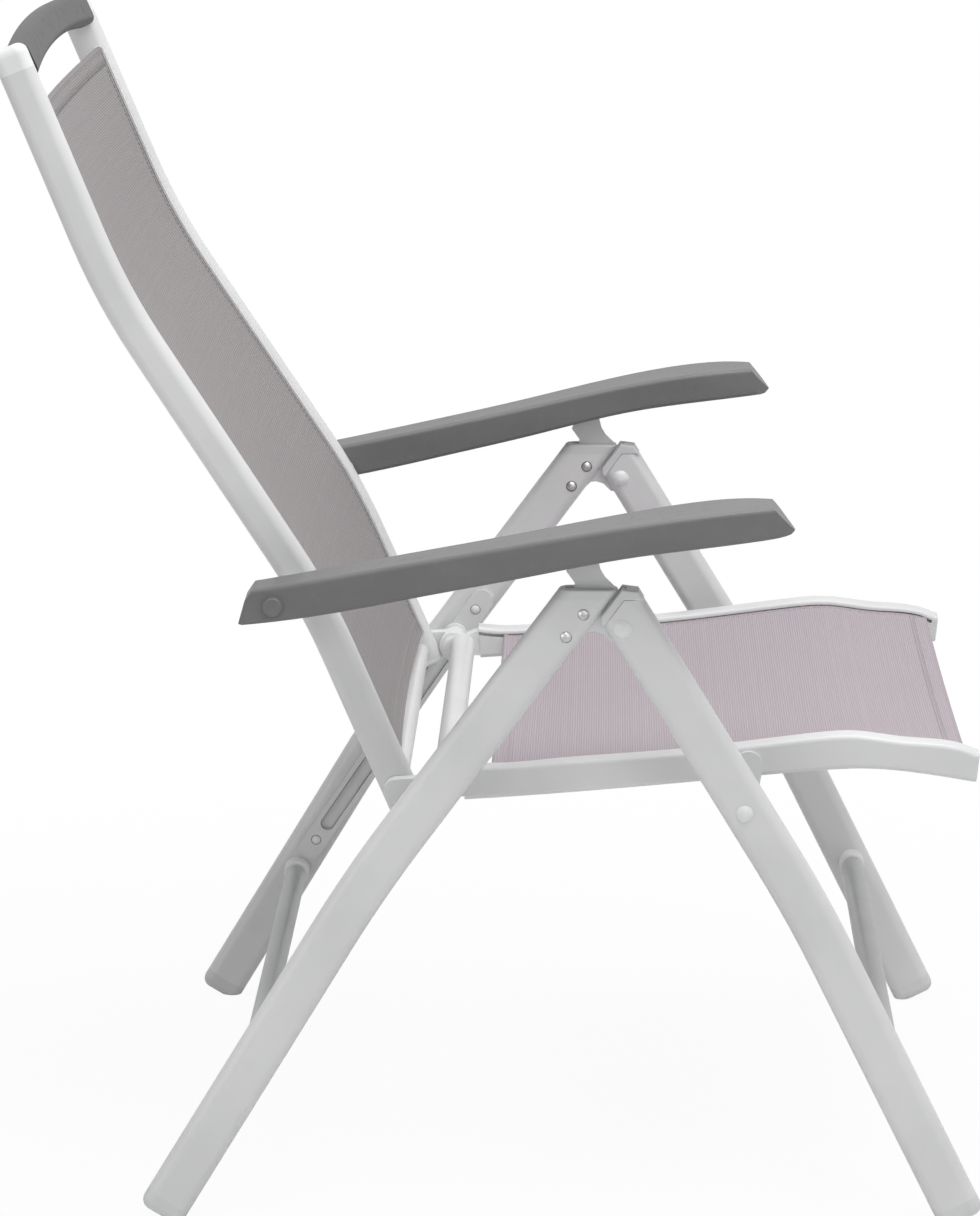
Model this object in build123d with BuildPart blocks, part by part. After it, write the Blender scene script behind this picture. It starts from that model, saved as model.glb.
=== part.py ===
from build123d import *
import math
import os

# A reclining, folding garden armchair, in millimetres, built as separate pieces.
# X points forward, Z up, and the chair is mirrored about Y = 0.
# Every side view table below gives (x, z) measured from the middle between the feet.

# Shared frame: the feet's middle lies this far in front of the origin
feet_mid_x = 57.7

# Lateral planes, as distances from the middle plane
leg_mid_y = 311.0
rail_mid_y = 254.0
back_mid_y = 250.0
back_mid_z = 360.0
back_top_y = 229.0
back_top_z = 940.0

# Shared fits and small sizes
overrun = 60.0
pivot_clearance = 0.08
slip_clearance = 0.3
plate_clearance = 0.35
rim_fillet = 1.8
small_fillet = 1.2
edge_fillet = 2.5

# Leg tubes
leg_depth = 40.0
leg_width = 22.0
leg_corner_share = 0.427
leg_wall = 1.6
leg_bend_radius = 1190.0
rear_leg_seam = (-333.5, 15.5)
rear_leg_bend = (-165.0, 295.5)
rear_leg_lean = 36.3
front_leg_seam = (333.5, 17.0)
front_leg_bend = (204.7, 277.5)
front_leg_lean = 31.4
leg_top_z = 541.6

# Foot caps
foot_length = 16.0
foot_fillet_share = 0.9
foot_spigot = 24.0

# Leg top plugs
rear_plug_top_z = 550.5
plug_spigot = 6.0
stop_gap = 1.25
plug_strip = 6.85
plug_corner_cut = 2.8
front_plug_top_z = 550.9
front_plug_edge_z = 549.2
front_plug_fillet = 1.5
front_slot_front = 12.4
front_slot_below = 45.0
rear_slot_outline = [(-12.0, 492.0), (2.0, 470.0), (60.0, 470.0), (60.0, 560.0), (2.2, 560.0),
                     (2.2, 541.0), (-8.0, 522.0)]

# Apex bracket plate, its rivets and the rack pin
apex_point = (49.4, 518.2)
bracket_thickness = 6.0
bracket_outline = [(2.8, 564.5), (9.8, 554.7), (9.8, 550.9), (6.9, 547.2), (-4.0, 524.0),
                   (-7.0, 506.0), (4.0, 496.0), (15.5, 508.0), (21.0, 513.3), (26.1, 513.7),
                   (33.0, 511.6), (39.8, 504.7), (49.4, 503.6), (62.0, 522.0), (56.0, 539.0),
                   (47.0, 546.9), (34.8, 558.6), (30.8, 565.4), (27.2, 580.0), (9.0, 580.0)]
bracket_boss_radius = 14.6
rack_pin_point = (18.0, 584.0)
rack_pin_radius = 3.0
rack_pin_reach = 9.5
pin_eye_radius = 8.0
bracket_rivet_points = [(17.0, 529.7), (2.6, 510.6)]
bracket_rivet_radius = 2.5
bracket_rivet_head = 4.5
bracket_rivet_dome = 2.2
apex_rivet_radius = 4.0
apex_rivet_head = 7.75
apex_rivet_dome = 3.4

# Slot channel on each rear leg, with its rivets
channel_points = [(-83.5, 398.6), (-249.4, 152.2)]
channel_width = 22.0
channel_thickness = 4.0
slot_points = [(-105.6, 365.8), (-232.9, 176.7)]
slot_width = 12.6
channel_rivet_points = [(-89.1, 390.3), (-244.1, 160.1)]
channel_rivet_radius = 2.2
channel_rivet_head = 4.4
channel_rivet_dome = 1.8

# Slider axle and seat cross tube
axle_point = (-108.5, 366.0)
axle_radius = 5.0
axle_tip_radius = 3.0
cross_tube_point = (-98.0, 376.0)
cross_tube_radius = 11.0
cross_tube_wall = 1.6
crank_start_y = 205.0
crank_end_y = 236.0
crank_stop = 2.3
slider_radius = 11.5
slider_play = 0.6
slider_flange_radius = 9.6
slider_groove = 3.0

# Seat rails, as a top and a bottom line
rail_width = 21.0
rail_top = [(-84.8, 385.5), (-62.4, 383.5), (-10.0, 387.4), (98.7, 396.8), (148.0, 403.0),
            (208.7, 411.0), (243.3, 413.5), (286.9, 408.5), (341.9, 400.5), (346.6, 398.3)]
rail_bottom = [(344.2, 373.2), (301.9, 379.9), (249.6, 383.9), (220.7, 382.4),
               (128.0, 373.5), (11.8, 362.3), (-82.8, 355.0)]
rail_fillet = 4.0
rail_wall = 2.0
rail_cap_reach = 3.5
rail_cap_spigot = 14.0
groove_drop = 6.4
groove_height = 3.2
groove_depth = 5.0
sling_thickness = 1.6
seat_sling_ends = (-60.0, 338.0)
seat_pivot = (151.5, 360.7)
pivot_radius = 4.0
pivot_head = 7.2
pivot_dome = 3.0
lug_thickness = 5.0
lug_radius = 12.0
lug_top = (156.0, 388.0)
spacer_radius = 8.5
front_bar_point = (322.0, 386.5)
front_bar_radius = 6.5
front_bar_wall = 1.4
rear_socket_outline = [(-96.8, 357.5), (-83.4, 357.5), (-81.5, 383.0), (-96.8, 376.5)]
rear_socket_radius = 13.4

# Backrest tubes, with their outline from the lower end to the top
tube_depth = 30.0
tube_width = 21.0
tube_corner_share = 0.4286
tube_wall = 1.6
tube_bend_radius = 560.0
back_path = [(-134.0, 352.0), (-208.3, 523.2), (-375.7, 780.0), (-442.3, 942.6), (-451.4, 964.8)]
back_path_bends = back_path[:1] + back_path[1:3] + back_path[4:]
tube_cap_length = 22.0
tube_cap_fillet_share = 0.91
tube_cap_spigot = 16.0
tube_foot_length = 5.0
tube_foot_fillet = 3.0
strip_width = 6.0
strip_depth = 7.0
strip_forward = 7.5
strip_slot_depth = 4.2
strip_slot_height = 3.0
back_sling_ends = (382.6, 937.0)
sling_edge_inset = 0.6
back_cross_point = (-140.0, 362.0)
back_cross_radius = 8.0
back_cross_wall = 1.5

# Hinge bracket on the outer side of each backrest tube
hinge_rear_point = (-140.0, 364.0)
hinge_radius = 11.0
hinge_thickness = 11.5
hinge_bolt_radius = 3.0
hinge_bolt_head = 5.5
hinge_bolt_dome = 0.5

# Carry handle between the tube tops
handle_mid = (-456.0, 978.5)
handle_end = (-449.5, 970.0)
handle_end_y = 215.7
handle_depth = 30.0
handle_width = 22.0
handle_corner = 7.0
handle_lean = 24.0

# Armrests, in side view and in plan
arm_top = [(-263.5, 536.0), (-256.5, 546.5), (-209.0, 555.3), (-130.0, 571.2), (-47.0, 588.3),
           (50.0, 609.0), (110.0, 619.2), (145.0, 623.0), (171.5, 624.0)]
arm_bottom = [(190.0, 602.5), (186.0, 599.0), (110.0, 591.7), (52.0, 582.5), (-35.0, 562.0),
              (-115.0, 544.0), (-209.0, 524.0), (-269.5, 515.2)]
arm_plan_inner = [(-262.0, 271.4), (-209.0, 272.0), (-47.0, 283.0), (78.0, 291.0), (150.0, 295.0),
                  (178.0, 303.0)]
arm_plan_outer = [(191.0, 321.0), (182.0, 337.0), (155.0, 350.0), (78.0, 354.0), (-47.0, 333.0),
                  (-209.0, 314.0), (-262.0, 308.6)]
arm_rear_round = 9.5
arm_wall = 3.6
arm_top_wall = 4.2
arm_fillet = 3.5
arm_front_wall_x = 172.0
arm_pivot = (-240.0, 532.5)
arm_pin_radius = 5.0
arm_pin_inset = 1.6
arm_pin_proud = 0.4
arm_bush_radius = 10.0
arm_bush_play = 0.8
arm_bush_back = 4.0
arm_cap_radius = 8.0
arm_cap_thickness = 2.6
arm_lug_play = 2.4
arm_lug_radius = 11.0
arm_lug_root = (-214.0, 531.5)
rack_thickness = 2.4
rack_gap = 5.2
rack_pitch = 15.5
rack_first = 223.0
rack_count = 7
rack_top = 24.0
rack_tooth_clear = 1.9
rack_notch_depth = 6.2
rack_end_margin = 12.0
rack_tooth_share = 0.42

# Stretchers between the legs
rear_stretcher_point = (-263.0, 130.0)
rear_stretcher_radius = 10.0
front_stretcher_point = (275.0, 141.0)
front_stretcher_radius = 11.0
stretcher_neck = 28.0
stretcher_neck_share = 0.8
stretcher_wall = 1.5
socket_length = 17.5
socket_radius = 12.0

os.makedirs("parts", exist_ok=True)


def side(y):
    """The side view plane on the right half, y outside the middle plane."""
    return Plane(origin=(feet_mid_x, -y, 0), x_dir=(1, 0, 0), z_dir=(0, -1, 0))


def lean(angle):
    """A unit step up a line that leans so many degrees backwards from the vertical."""
    return Vector(-math.sin(math.radians(angle)), math.cos(math.radians(angle)))


def ahead(point, step, length):
    """A side view point moved along a step."""
    return (point[0] + step.X * length, point[1] + step.Y * length)


def save(part, node):
    """Write one piece."""
    part.label = node
    export_step(part, f"parts/{node}.step")


def save_pair(part, node):
    """Write the right piece and its mirror image on the left."""
    save(part, f"{node}_right")
    save(part.mirror(Plane.XZ), f"{node}_left")


def save_both(part, node):
    """Write the right and left pieces as one group."""
    save(Compound(children=[*part.solids(), *part.mirror(Plane.XZ).solids()]), node)


def leg_section(plane, depth, width, corner, wall):
    """Draw a hollow rounded section on a plane."""
    with BuildSketch(plane) as section:
        RectangleRounded(width, depth, corner)
        RectangleRounded(width - 2 * wall, depth - 2 * wall, corner - wall, mode=Mode.SUBTRACT)
    return section.sketch


def disc(point, radius, y_from, y_to):
    """A round bar along Y in the right half, as a loose part."""
    with BuildPart(mode=Mode.PRIVATE) as bar:
        with BuildSketch(side(y_from)):
            with Locations(point):
                Circle(radius)
        extrude(amount=y_to - y_from)
    return bar.part


def dome(point, radius, height, y_face, outward):
    """A shallow rivet head that bulges away from the face at y_face."""
    centre = (feet_mid_x + point[0], -y_face, point[1])
    ball = (radius * radius + height * height) / (2 * height)
    half = math.asin(radius / ball) / 2
    middle = (ball * math.sin(half), outward * (ball - height - ball * math.cos(half)))
    with BuildPart(mode=Mode.PRIVATE) as head:
        with BuildSketch(Plane(origin=centre, x_dir=(1, 0, 0), z_dir=(0, 0, 1))):
            with BuildLine():
                Line((0, 0), (radius, 0))
                ThreePointArc((radius, 0), middle, (0, -outward * height))
                Line((0, -outward * height), (0, 0))
            make_face()
        revolve(axis=Axis(centre, (0, 1, 0)))
    return head.part


def slab(outline, y_from, y_to):
    """A side view outline extruded along Y in the right half, as a loose part."""
    with BuildPart(mode=Mode.PRIVATE) as plate:
        with BuildSketch(side(y_from)):
            Polygon(*outline, align=None)
        extrude(amount=y_to - y_from)
    return plate.part


def link(first, second, radius, y_from, y_to):
    """A flat bar with round ends between two side view points, as a loose part."""
    middle = ((first[0] + second[0]) / 2, (first[1] + second[1]) / 2)
    length = math.hypot(second[0] - first[0], second[1] - first[1])
    angle = math.degrees(math.atan2(second[1] - first[1], second[0] - first[0]))
    with BuildPart(mode=Mode.PRIVATE) as bar:
        with BuildSketch(side(y_from)):
            with Locations(Location((middle[0], middle[1], 0), (0, 0, angle))):
                SlotCenterToCenter(length, 2 * radius)
        extrude(amount=y_to - y_from)
    return bar.part


def value_at(points, x):
    """The second value of a table of pairs at a first value."""
    for first, second in zip(points, points[1:]):
        if first[0] <= x <= second[0]:
            return first[1] + (second[1] - first[1]) * (x - first[0]) / (second[0] - first[0])
    return points[-1][1]


def meet(rear_distance, front_distance):
    """The side view point at two distances in front of the rear and of the front leg's line."""
    rear_sum = rear_leg_bend[0] * rear_up.Y - rear_leg_bend[1] * rear_up.X + rear_distance
    front_sum = front_leg_bend[0] * front_up.Y - front_leg_bend[1] * front_up.X + front_distance
    base = rear_up.X * front_up.Y - rear_up.Y * front_up.X
    return ((rear_up.X * front_sum - front_up.X * rear_sum) / base,
            (rear_up.Y * front_sum - front_up.Y * rear_sum) / base)


def at_height(point, step, z):
    """Where a line through a point reaches a height."""
    return (point[0] + step.X * (z - point[1]) / step.Y, z)


# Places that follow from the sizes above
leg_corner = leg_width * leg_corner_share
tube_corner = tube_width * tube_corner_share
leg_in = leg_mid_y - leg_width / 2
leg_out = leg_mid_y + leg_width / 2
plate_in = leg_mid_y - bracket_thickness / 2
plate_out = leg_mid_y + bracket_thickness / 2
rear_up = lean(-rear_leg_lean)
front_up = lean(front_leg_lean)
rear_leg_end = at_height(rear_leg_bend, rear_up, leg_top_z + overrun)
front_leg_end = at_height(front_leg_bend, front_up, leg_top_z + overrun)
tilt = math.atan((back_mid_y - back_top_y) / (back_top_z - back_mid_z))
inward = Plane(origin=(feet_mid_x, -back_mid_y, back_mid_z), x_dir=(1, 0, 0),
               z_dir=(0, -math.cos(tilt), math.sin(tilt)))


def tube_y(z):
    """How far the backrest tube's centre line lies outside the middle plane at a height."""
    return back_mid_y - (z - back_mid_z) * math.tan(tilt)


def tube_face_y(z):
    """Where the backrest tube's outer face is at a height."""
    return tube_y(z) + tube_width / 2 / math.cos(tilt)


hinge_inner_y = tube_face_y(hinge_rear_point[1] - hinge_radius) + slip_clearance
hinge_outer_y = hinge_inner_y + hinge_thickness
slider_inner_y = hinge_outer_y + slider_play
slider_outer_y = leg_in - channel_thickness - slip_clearance
crank_stop_y = hinge_inner_y - crank_stop
arm_in_y = value_at(arm_plan_inner, arm_pivot[0])
arm_out_y = value_at(arm_plan_outer[::-1], arm_pivot[0])
arm_lug_inner_y = tube_face_y(arm_pivot[1] - arm_lug_radius) + slip_clearance
arm_lug_outer_y = arm_in_y - arm_lug_play
arm_pin_inner_y = arm_lug_inner_y + arm_pin_inset
arm_pin_outer_y = arm_out_y + arm_pin_proud
arm_bush_inner_y = arm_in_y + arm_wall + arm_bush_play
arm_bush_outer_y = arm_out_y - arm_wall - arm_bush_back

# The front leg's slanted top stops against the rear leg's front edge
stop_line = leg_depth / 2 + stop_gap
seam_line = stop_line + plug_strip
stop_corner = meet(stop_line, -leg_depth / 2)
seam_corner = meet(seam_line, -leg_depth / 2)
front_edge_top = at_height(meet(seam_line, leg_depth / 2), front_up, leg_top_z)
front_plug_outline = [
    ahead(stop_corner, front_up, -plug_corner_cut),
    ahead(stop_corner, rear_up, plug_corner_cut),
    at_height(stop_corner, rear_up, front_plug_top_z),
    at_height(front_edge_top, front_up, front_plug_edge_z),
    front_edge_top,
    at_height(seam_corner, rear_up, leg_top_z),
    seam_corner]
low_seam = ahead(seam_corner, rear_up, -overrun)
high_seam = ahead(seam_corner, rear_up, 2 * overrun)
front_cut_outline = [low_seam, high_seam, ahead(high_seam, front_up, overrun),
                     ahead(low_seam, front_up, overrun)]

# Slots that let the bracket plate into the hollow legs and their plugs
slot_low = ahead(meet(seam_line, front_slot_front), front_up, -front_slot_below)
slot_high = ahead(slot_low, front_up, front_slot_below + overrun)
aside = Vector(-front_up.Y, front_up.X)
front_slot_outline = [slot_low, slot_high, ahead(slot_high, aside, 2 * overrun),
                      ahead(slot_low, aside, overrun)]
rear_slot = slab(rear_slot_outline, plate_in - plate_clearance, plate_out + plate_clearance)
front_slot = slab(front_slot_outline, plate_in - plate_clearance, plate_out + plate_clearance)

# Legs
with BuildPart() as rear_leg:
    with BuildLine(side(leg_mid_y)) as path:
        FilletPolyline(rear_leg_seam, rear_leg_bend, rear_leg_end, radius=leg_bend_radius)
    start = Plane(origin=path.line @ 0, x_dir=(0, 1, 0), z_dir=path.line % 0)
    add(leg_section(start, leg_depth, leg_width, leg_corner, leg_wall))
    sweep()
    split(bisect_by=Plane.XY.offset(leg_top_z), keep=Keep.BOTTOM)
    add(rear_slot, mode=Mode.SUBTRACT)
    for point in bracket_rivet_points:
        add(disc(point, bracket_rivet_radius + pivot_clearance, leg_in - overrun, leg_out + overrun),
            mode=Mode.SUBTRACT)
    for point in channel_rivet_points:
        add(disc(point, channel_rivet_radius + pivot_clearance, leg_in - overrun, leg_mid_y),
            mode=Mode.SUBTRACT)
save_pair(rear_leg.part, "rear_leg")

front_cut = slab(front_cut_outline, leg_in - overrun, leg_out + overrun)
with BuildPart() as front_leg:
    with BuildLine(side(leg_mid_y)) as path:
        FilletPolyline(front_leg_seam, front_leg_bend, front_leg_end, radius=leg_bend_radius)
    start = Plane(origin=path.line @ 0, x_dir=(0, 1, 0), z_dir=path.line % 0)
    add(leg_section(start, leg_depth, leg_width, leg_corner, leg_wall))
    sweep()
    split(bisect_by=Plane.XY.offset(leg_top_z), keep=Keep.BOTTOM)
    add(front_cut, mode=Mode.SUBTRACT)
    add(front_slot, mode=Mode.SUBTRACT)
    add(disc(apex_point, apex_rivet_radius + pivot_clearance, leg_in - overrun, leg_out + overrun),
        mode=Mode.SUBTRACT)
    add(disc(seat_pivot, pivot_radius + pivot_clearance, leg_in - overrun, leg_out + overrun),
        mode=Mode.SUBTRACT)
save_pair(front_leg.part, "front_leg")

# Foot caps, cut level where they rest on the ground
for node, seam, bend in (("rear_foot", rear_leg_seam, rear_leg_bend),
                         ("front_foot", front_leg_seam, front_leg_bend)):
    down = Vector(seam[0] - bend[0], 0, seam[1] - bend[1]).normalized()
    seam_plane = Plane(origin=(feet_mid_x + seam[0], -leg_mid_y, seam[1]), x_dir=(0, 1, 0),
                       z_dir=(down.X, 0, down.Z))
    with BuildPart() as foot:
        with BuildSketch(seam_plane):
            RectangleRounded(leg_width, leg_depth, leg_corner)
        extrude(amount=foot_length)
        end = foot.faces().sort_by(Axis((0, 0, 0), (down.X, 0, down.Z)))[-1]
        fillet(end.edges(), radius=leg_corner * foot_fillet_share)
        inner = leg_wall + slip_clearance
        with BuildSketch(seam_plane):
            RectangleRounded(leg_width - 2 * inner, leg_depth - 2 * inner, leg_corner - inner)
        extrude(amount=-foot_spigot)
        split(bisect_by=Plane.XY, keep=Keep.TOP)
    save_pair(foot.part, node)

# Plug in the top of each rear leg
plug_base = ahead(rear_leg_bend, rear_up, (leg_top_z - rear_leg_bend[1]) / rear_up.Y - overrun)
base_plane = Plane(origin=(feet_mid_x + plug_base[0], -leg_mid_y, plug_base[1]), x_dir=(0, 1, 0),
                   z_dir=(rear_up.X, 0, rear_up.Y))
inner = leg_wall + slip_clearance
with BuildPart() as plug_spigot_piece:
    with BuildSketch(base_plane):
        RectangleRounded(leg_width - 2 * inner, leg_depth - 2 * inner, leg_corner - inner)
    extrude(amount=2 * overrun)
    split(bisect_by=Plane.XY.offset(leg_top_z), keep=Keep.BOTTOM)
    split(bisect_by=Plane.XY.offset(leg_top_z - plug_spigot), keep=Keep.TOP)
with BuildPart() as rear_plug:
    with BuildSketch(base_plane):
        RectangleRounded(leg_width, leg_depth, leg_corner)
    extrude(amount=2 * overrun)
    split(bisect_by=Plane.XY.offset(leg_top_z), keep=Keep.TOP)
    split(bisect_by=Plane.XY.offset(rear_plug_top_z), keep=Keep.BOTTOM)
    fillet(rear_plug.faces().sort_by(Axis.Z)[-1].edges(), radius=rim_fillet)
    add(plug_spigot_piece.part)
    add(rear_slot, mode=Mode.SUBTRACT)
save_pair(rear_plug.part, "rear_leg_plug")

# Plug over the slanted top of each front leg
with BuildPart() as front_plug:
    with BuildSketch(side(leg_in)):
        Polygon(*front_plug_outline, align=None)
    extrude(amount=leg_width)
    for face in (front_plug.faces().sort_by(Axis.Y)[-1], front_plug.faces().sort_by(Axis.Y)[0]):
        fillet(face.edges(), radius=front_plug_fillet)
    add(front_slot, mode=Mode.SUBTRACT)
save_pair(front_plug.part, "front_leg_plug")

# Apex bracket plate
with BuildPart() as bracket:
    add(slab(bracket_outline, plate_in, plate_out))
    add(disc(apex_point, bracket_boss_radius, plate_in, plate_out))
    add(disc(rack_pin_point, pin_eye_radius, plate_in, plate_out))
    add(disc(apex_point, apex_rivet_radius + pivot_clearance, leg_in, leg_out), mode=Mode.SUBTRACT)
    add(disc(rack_pin_point, rack_pin_radius + pivot_clearance, leg_in, leg_out), mode=Mode.SUBTRACT)
    for point in bracket_rivet_points:
        add(disc(point, bracket_rivet_radius + pivot_clearance, leg_in, leg_out), mode=Mode.SUBTRACT)
save_pair(bracket.part, "arm_bracket")

with BuildPart() as bracket_rivets:
    for point in bracket_rivet_points:
        add(disc(point, bracket_rivet_radius, leg_in, leg_out))
        add(dome(point, bracket_rivet_head, bracket_rivet_dome, leg_out, 1))
        add(dome(point, bracket_rivet_head, bracket_rivet_dome, leg_in, -1))
save_both(bracket_rivets.part, "bracket_rivets")

with BuildPart() as rack_pins:
    add(disc(rack_pin_point, rack_pin_radius, leg_mid_y - rack_pin_reach, leg_mid_y + rack_pin_reach))
save_both(rack_pins.part, "rack_pins")

with BuildPart() as apex_rivets:
    add(disc(apex_point, apex_rivet_radius, leg_in, leg_out))
    add(dome(apex_point, apex_rivet_head, apex_rivet_dome, leg_out, 1))
    add(dome(apex_point, apex_rivet_head, apex_rivet_dome, leg_in, -1))
save_both(apex_rivets.part, "apex_rivets")

# Slot channel
channel_in = leg_in - channel_thickness
with BuildPart() as channel:
    add(link(channel_points[0], channel_points[1], channel_width / 2, channel_in, leg_in))
    add(link(slot_points[0], slot_points[1], slot_width / 2, channel_in - overrun, leg_in + overrun),
        mode=Mode.SUBTRACT)
    for point in channel_rivet_points:
        add(disc(point, channel_rivet_radius + pivot_clearance, channel_in - overrun, leg_in + overrun),
            mode=Mode.SUBTRACT)
save_pair(channel.part, "slot_channel")

with BuildPart() as channel_rivets:
    for point in channel_rivet_points:
        add(disc(point, channel_rivet_radius, channel_in, leg_in + 2 * leg_wall))
        add(dome(point, channel_rivet_head, channel_rivet_dome, channel_in, -1))
save_both(channel_rivets.part, "channel_rivets")

# Stretchers, necked where they enter their sockets
for node, point, radius in (("rear_stretcher", rear_stretcher_point, rear_stretcher_radius),
                            ("front_stretcher", front_stretcher_point, front_stretcher_radius)):
    neck_radius = radius * stretcher_neck_share
    with BuildPart() as stretcher:
        add(disc(point, neck_radius, -leg_in, leg_in))
        full = leg_in - stretcher_neck
        add(disc(point, radius, -full, full))
        fillet(stretcher.edges().filter_by(GeomType.CIRCLE).filter_by(
            lambda edge: abs(edge.radius - radius) < stretcher_wall), radius=small_fillet)
        add(disc(point, neck_radius - stretcher_wall, -leg_in, leg_in), mode=Mode.SUBTRACT)
    save(stretcher.part, node)
    with BuildPart() as socket:
        add(disc(point, socket_radius, leg_in - socket_length, leg_in))
        fillet(socket.faces().sort_by(Axis.Y)[-1].edges(), radius=edge_fillet)
        add(disc(point, neck_radius + pivot_clearance, leg_in - overrun, leg_in),
            mode=Mode.SUBTRACT)
    save_both(socket.part, f"{node}_sockets")

# Seat rails and their end caps
rail_in = rail_mid_y - rail_width / 2
rail_out = rail_mid_y + rail_width / 2


def offset_line(points, drop):
    """The line moved down, square to its length, as a spline friendly list."""
    moved = []
    for index, point in enumerate(points):
        before = points[max(index - 1, 0)]
        after = points[min(index + 1, len(points) - 1)]
        run = math.hypot(after[0] - before[0], after[1] - before[1])
        moved.append((point[0] + drop * (after[1] - before[1]) / run,
                      point[1] - drop * (after[0] - before[0]) / run))
    return moved


def strip(upper, lower, y_from, y_to):
    """A smooth band between two lines, extruded along Y, as a loose part."""
    with BuildPart(mode=Mode.PRIVATE) as band:
        with BuildSketch(side(y_from)):
            with BuildLine():
                Spline(*upper)
                Line(upper[-1], lower[0])
                Spline(*lower)
                Line(lower[-1], upper[0])
            make_face()
        extrude(amount=y_to - y_from)
    return band.part


def rail_cavity(clearance):
    """The hollow under the rail's groove, drawn in by a clearance, as a loose part."""
    roof = offset_line(rail_top, groove_drop + groove_height / 2 + rail_wall + clearance)
    roof[0] = (roof[0][0] - overrun, roof[0][1])
    roof[-1] = (roof[-1][0] + overrun, roof[-1][1])
    sole = offset_line(rail_bottom[:0:-1], -rail_wall - clearance)
    sole[0] = (sole[0][0] - overrun, sole[0][1])
    sole.append((roof[-1][0], sole[-1][1] + (sole[-1][1] - sole[-2][1])
                 * (roof[-1][0] - sole[-1][0]) / (sole[-1][0] - sole[-2][0])))
    return strip(roof, sole[::-1], rail_in + rail_wall + clearance, rail_out - rail_wall - clearance)


with BuildPart() as rail:
    add(strip(rail_top, rail_bottom, rail_in, rail_out))
    long_edges = rail.edges().filter_by(GeomType.BSPLINE)
    fillet(long_edges, radius=rail_fillet)
    groove_top = offset_line(rail_top, groove_drop - groove_height / 2)
    groove_low = offset_line(rail_top, groove_drop + groove_height / 2)
    add(strip(groove_top, groove_low[::-1], rail_in - overrun, rail_in + groove_depth),
        mode=Mode.SUBTRACT)
    front_face = rail.faces().sort_by(Axis.X)[-1]
    add(rail_cavity(0), mode=Mode.SUBTRACT)
save_pair(rail.part, "seat_rail")

spigot_zone = [rail_top[-1], rail_bottom[0], (rail_bottom[0][0] - rail_cap_spigot, rail_bottom[0][1]),
               (rail_top[-1][0] - rail_cap_spigot, rail_top[-1][1])]
with BuildPart() as rail_cap:
    add(rail_cavity(slip_clearance))
    add(slab(spigot_zone, rail_in, rail_out), mode=Mode.INTERSECT)
    extrude(to_extrude=front_face, amount=rail_cap_reach)
    fillet(rail_cap.faces().sort_by(Axis.X)[-1].edges(), radius=small_fillet)
save_pair(rail_cap.part, "seat_rail_cap")

with BuildPart() as rear_socket:
    add(disc(axle_point, rear_socket_radius, rail_in + small_fillet, hinge_inner_y - slip_clearance))
    add(slab(rear_socket_outline, rail_in + small_fillet, hinge_inner_y - slip_clearance))
    add(strip(rail_top, rail_bottom, rail_in - overrun, rail_out + overrun), mode=Mode.SUBTRACT)
    add(disc(axle_point, cross_tube_radius + pivot_clearance, rail_in - overrun, rail_out + overrun),
        mode=Mode.SUBTRACT)
save_pair(rear_socket.part, "seat_rear_socket")

# Seat cross tube, cranked back and down to the slider axle at both ends
with BuildPart() as cross_tube:
    with BuildLine() as path:
        points = [(axle_point, -crank_stop_y), (axle_point, -crank_end_y),
                  (cross_tube_point, -crank_start_y), (cross_tube_point, crank_start_y),
                  (axle_point, crank_end_y), (axle_point, crank_stop_y)]
        spots = [Vector(feet_mid_x + at[0], y, at[1]) for at, y in points]
        Line(spots[0], spots[1])
        Spline(spots[1], spots[2], tangents=[(0, 1, 0), (0, 1, 0)])
        Line(spots[2], spots[3])
        Spline(spots[3], spots[4], tangents=[(0, 1, 0), (0, 1, 0)])
        Line(spots[4], spots[5])
    with BuildSketch(Plane(origin=spots[0], x_dir=(1, 0, 0), z_dir=(0, 1, 0))):
        Circle(cross_tube_radius)
        Circle(cross_tube_radius - cross_tube_wall, mode=Mode.SUBTRACT)
    sweep()
save(cross_tube.part, "seat_cross_tube")

with BuildPart() as axle:
    add(disc(axle_point, cross_tube_radius - cross_tube_wall - slip_clearance,
             crank_end_y + slip_clearance, crank_stop_y))
    add(disc(axle_point, cross_tube_radius, crank_stop_y, hinge_inner_y - slip_clearance))
    add(disc(axle_point, axle_radius, crank_stop_y, slider_outer_y))
    add(disc(axle_point, axle_tip_radius, slider_outer_y, leg_in - slip_clearance))
save_both(axle.part, "seat_axles")

# Slider sleeves that turn on the axles and run beside the slot channels
with BuildPart() as slider:
    add(disc(axle_point, slider_radius, slider_inner_y, slider_outer_y))
    fillet(slider.edges().filter_by(GeomType.CIRCLE), radius=small_fillet)
    middle = (slider_inner_y + slider_outer_y) / 2
    add(disc(axle_point, slider_radius + overrun, middle - slider_groove / 2,
             middle + slider_groove / 2), mode=Mode.SUBTRACT)
    add(disc(axle_point, slider_flange_radius, middle - slider_groove / 2,
             middle + slider_groove / 2))
    add(disc(axle_point, axle_radius + pivot_clearance, slider_inner_y, slider_outer_y),
        mode=Mode.SUBTRACT)
save_pair(slider.part, "slider")

# Seat pivot lug, spacer and rivet
with BuildPart() as lug:
    add(link(seat_pivot, lug_top, lug_radius, rail_out, rail_out + lug_thickness))
    add(disc(seat_pivot, pivot_radius + pivot_clearance, rail_out - overrun, leg_in), mode=Mode.SUBTRACT)
save_both(lug.part, "seat_lugs")

with BuildPart() as spacer:
    add(disc(seat_pivot, spacer_radius, rail_out + lug_thickness, leg_in - plate_clearance))
    add(disc(seat_pivot, pivot_radius + pivot_clearance, rail_out, leg_out), mode=Mode.SUBTRACT)
save_both(spacer.part, "seat_pivot_spacers")

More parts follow.
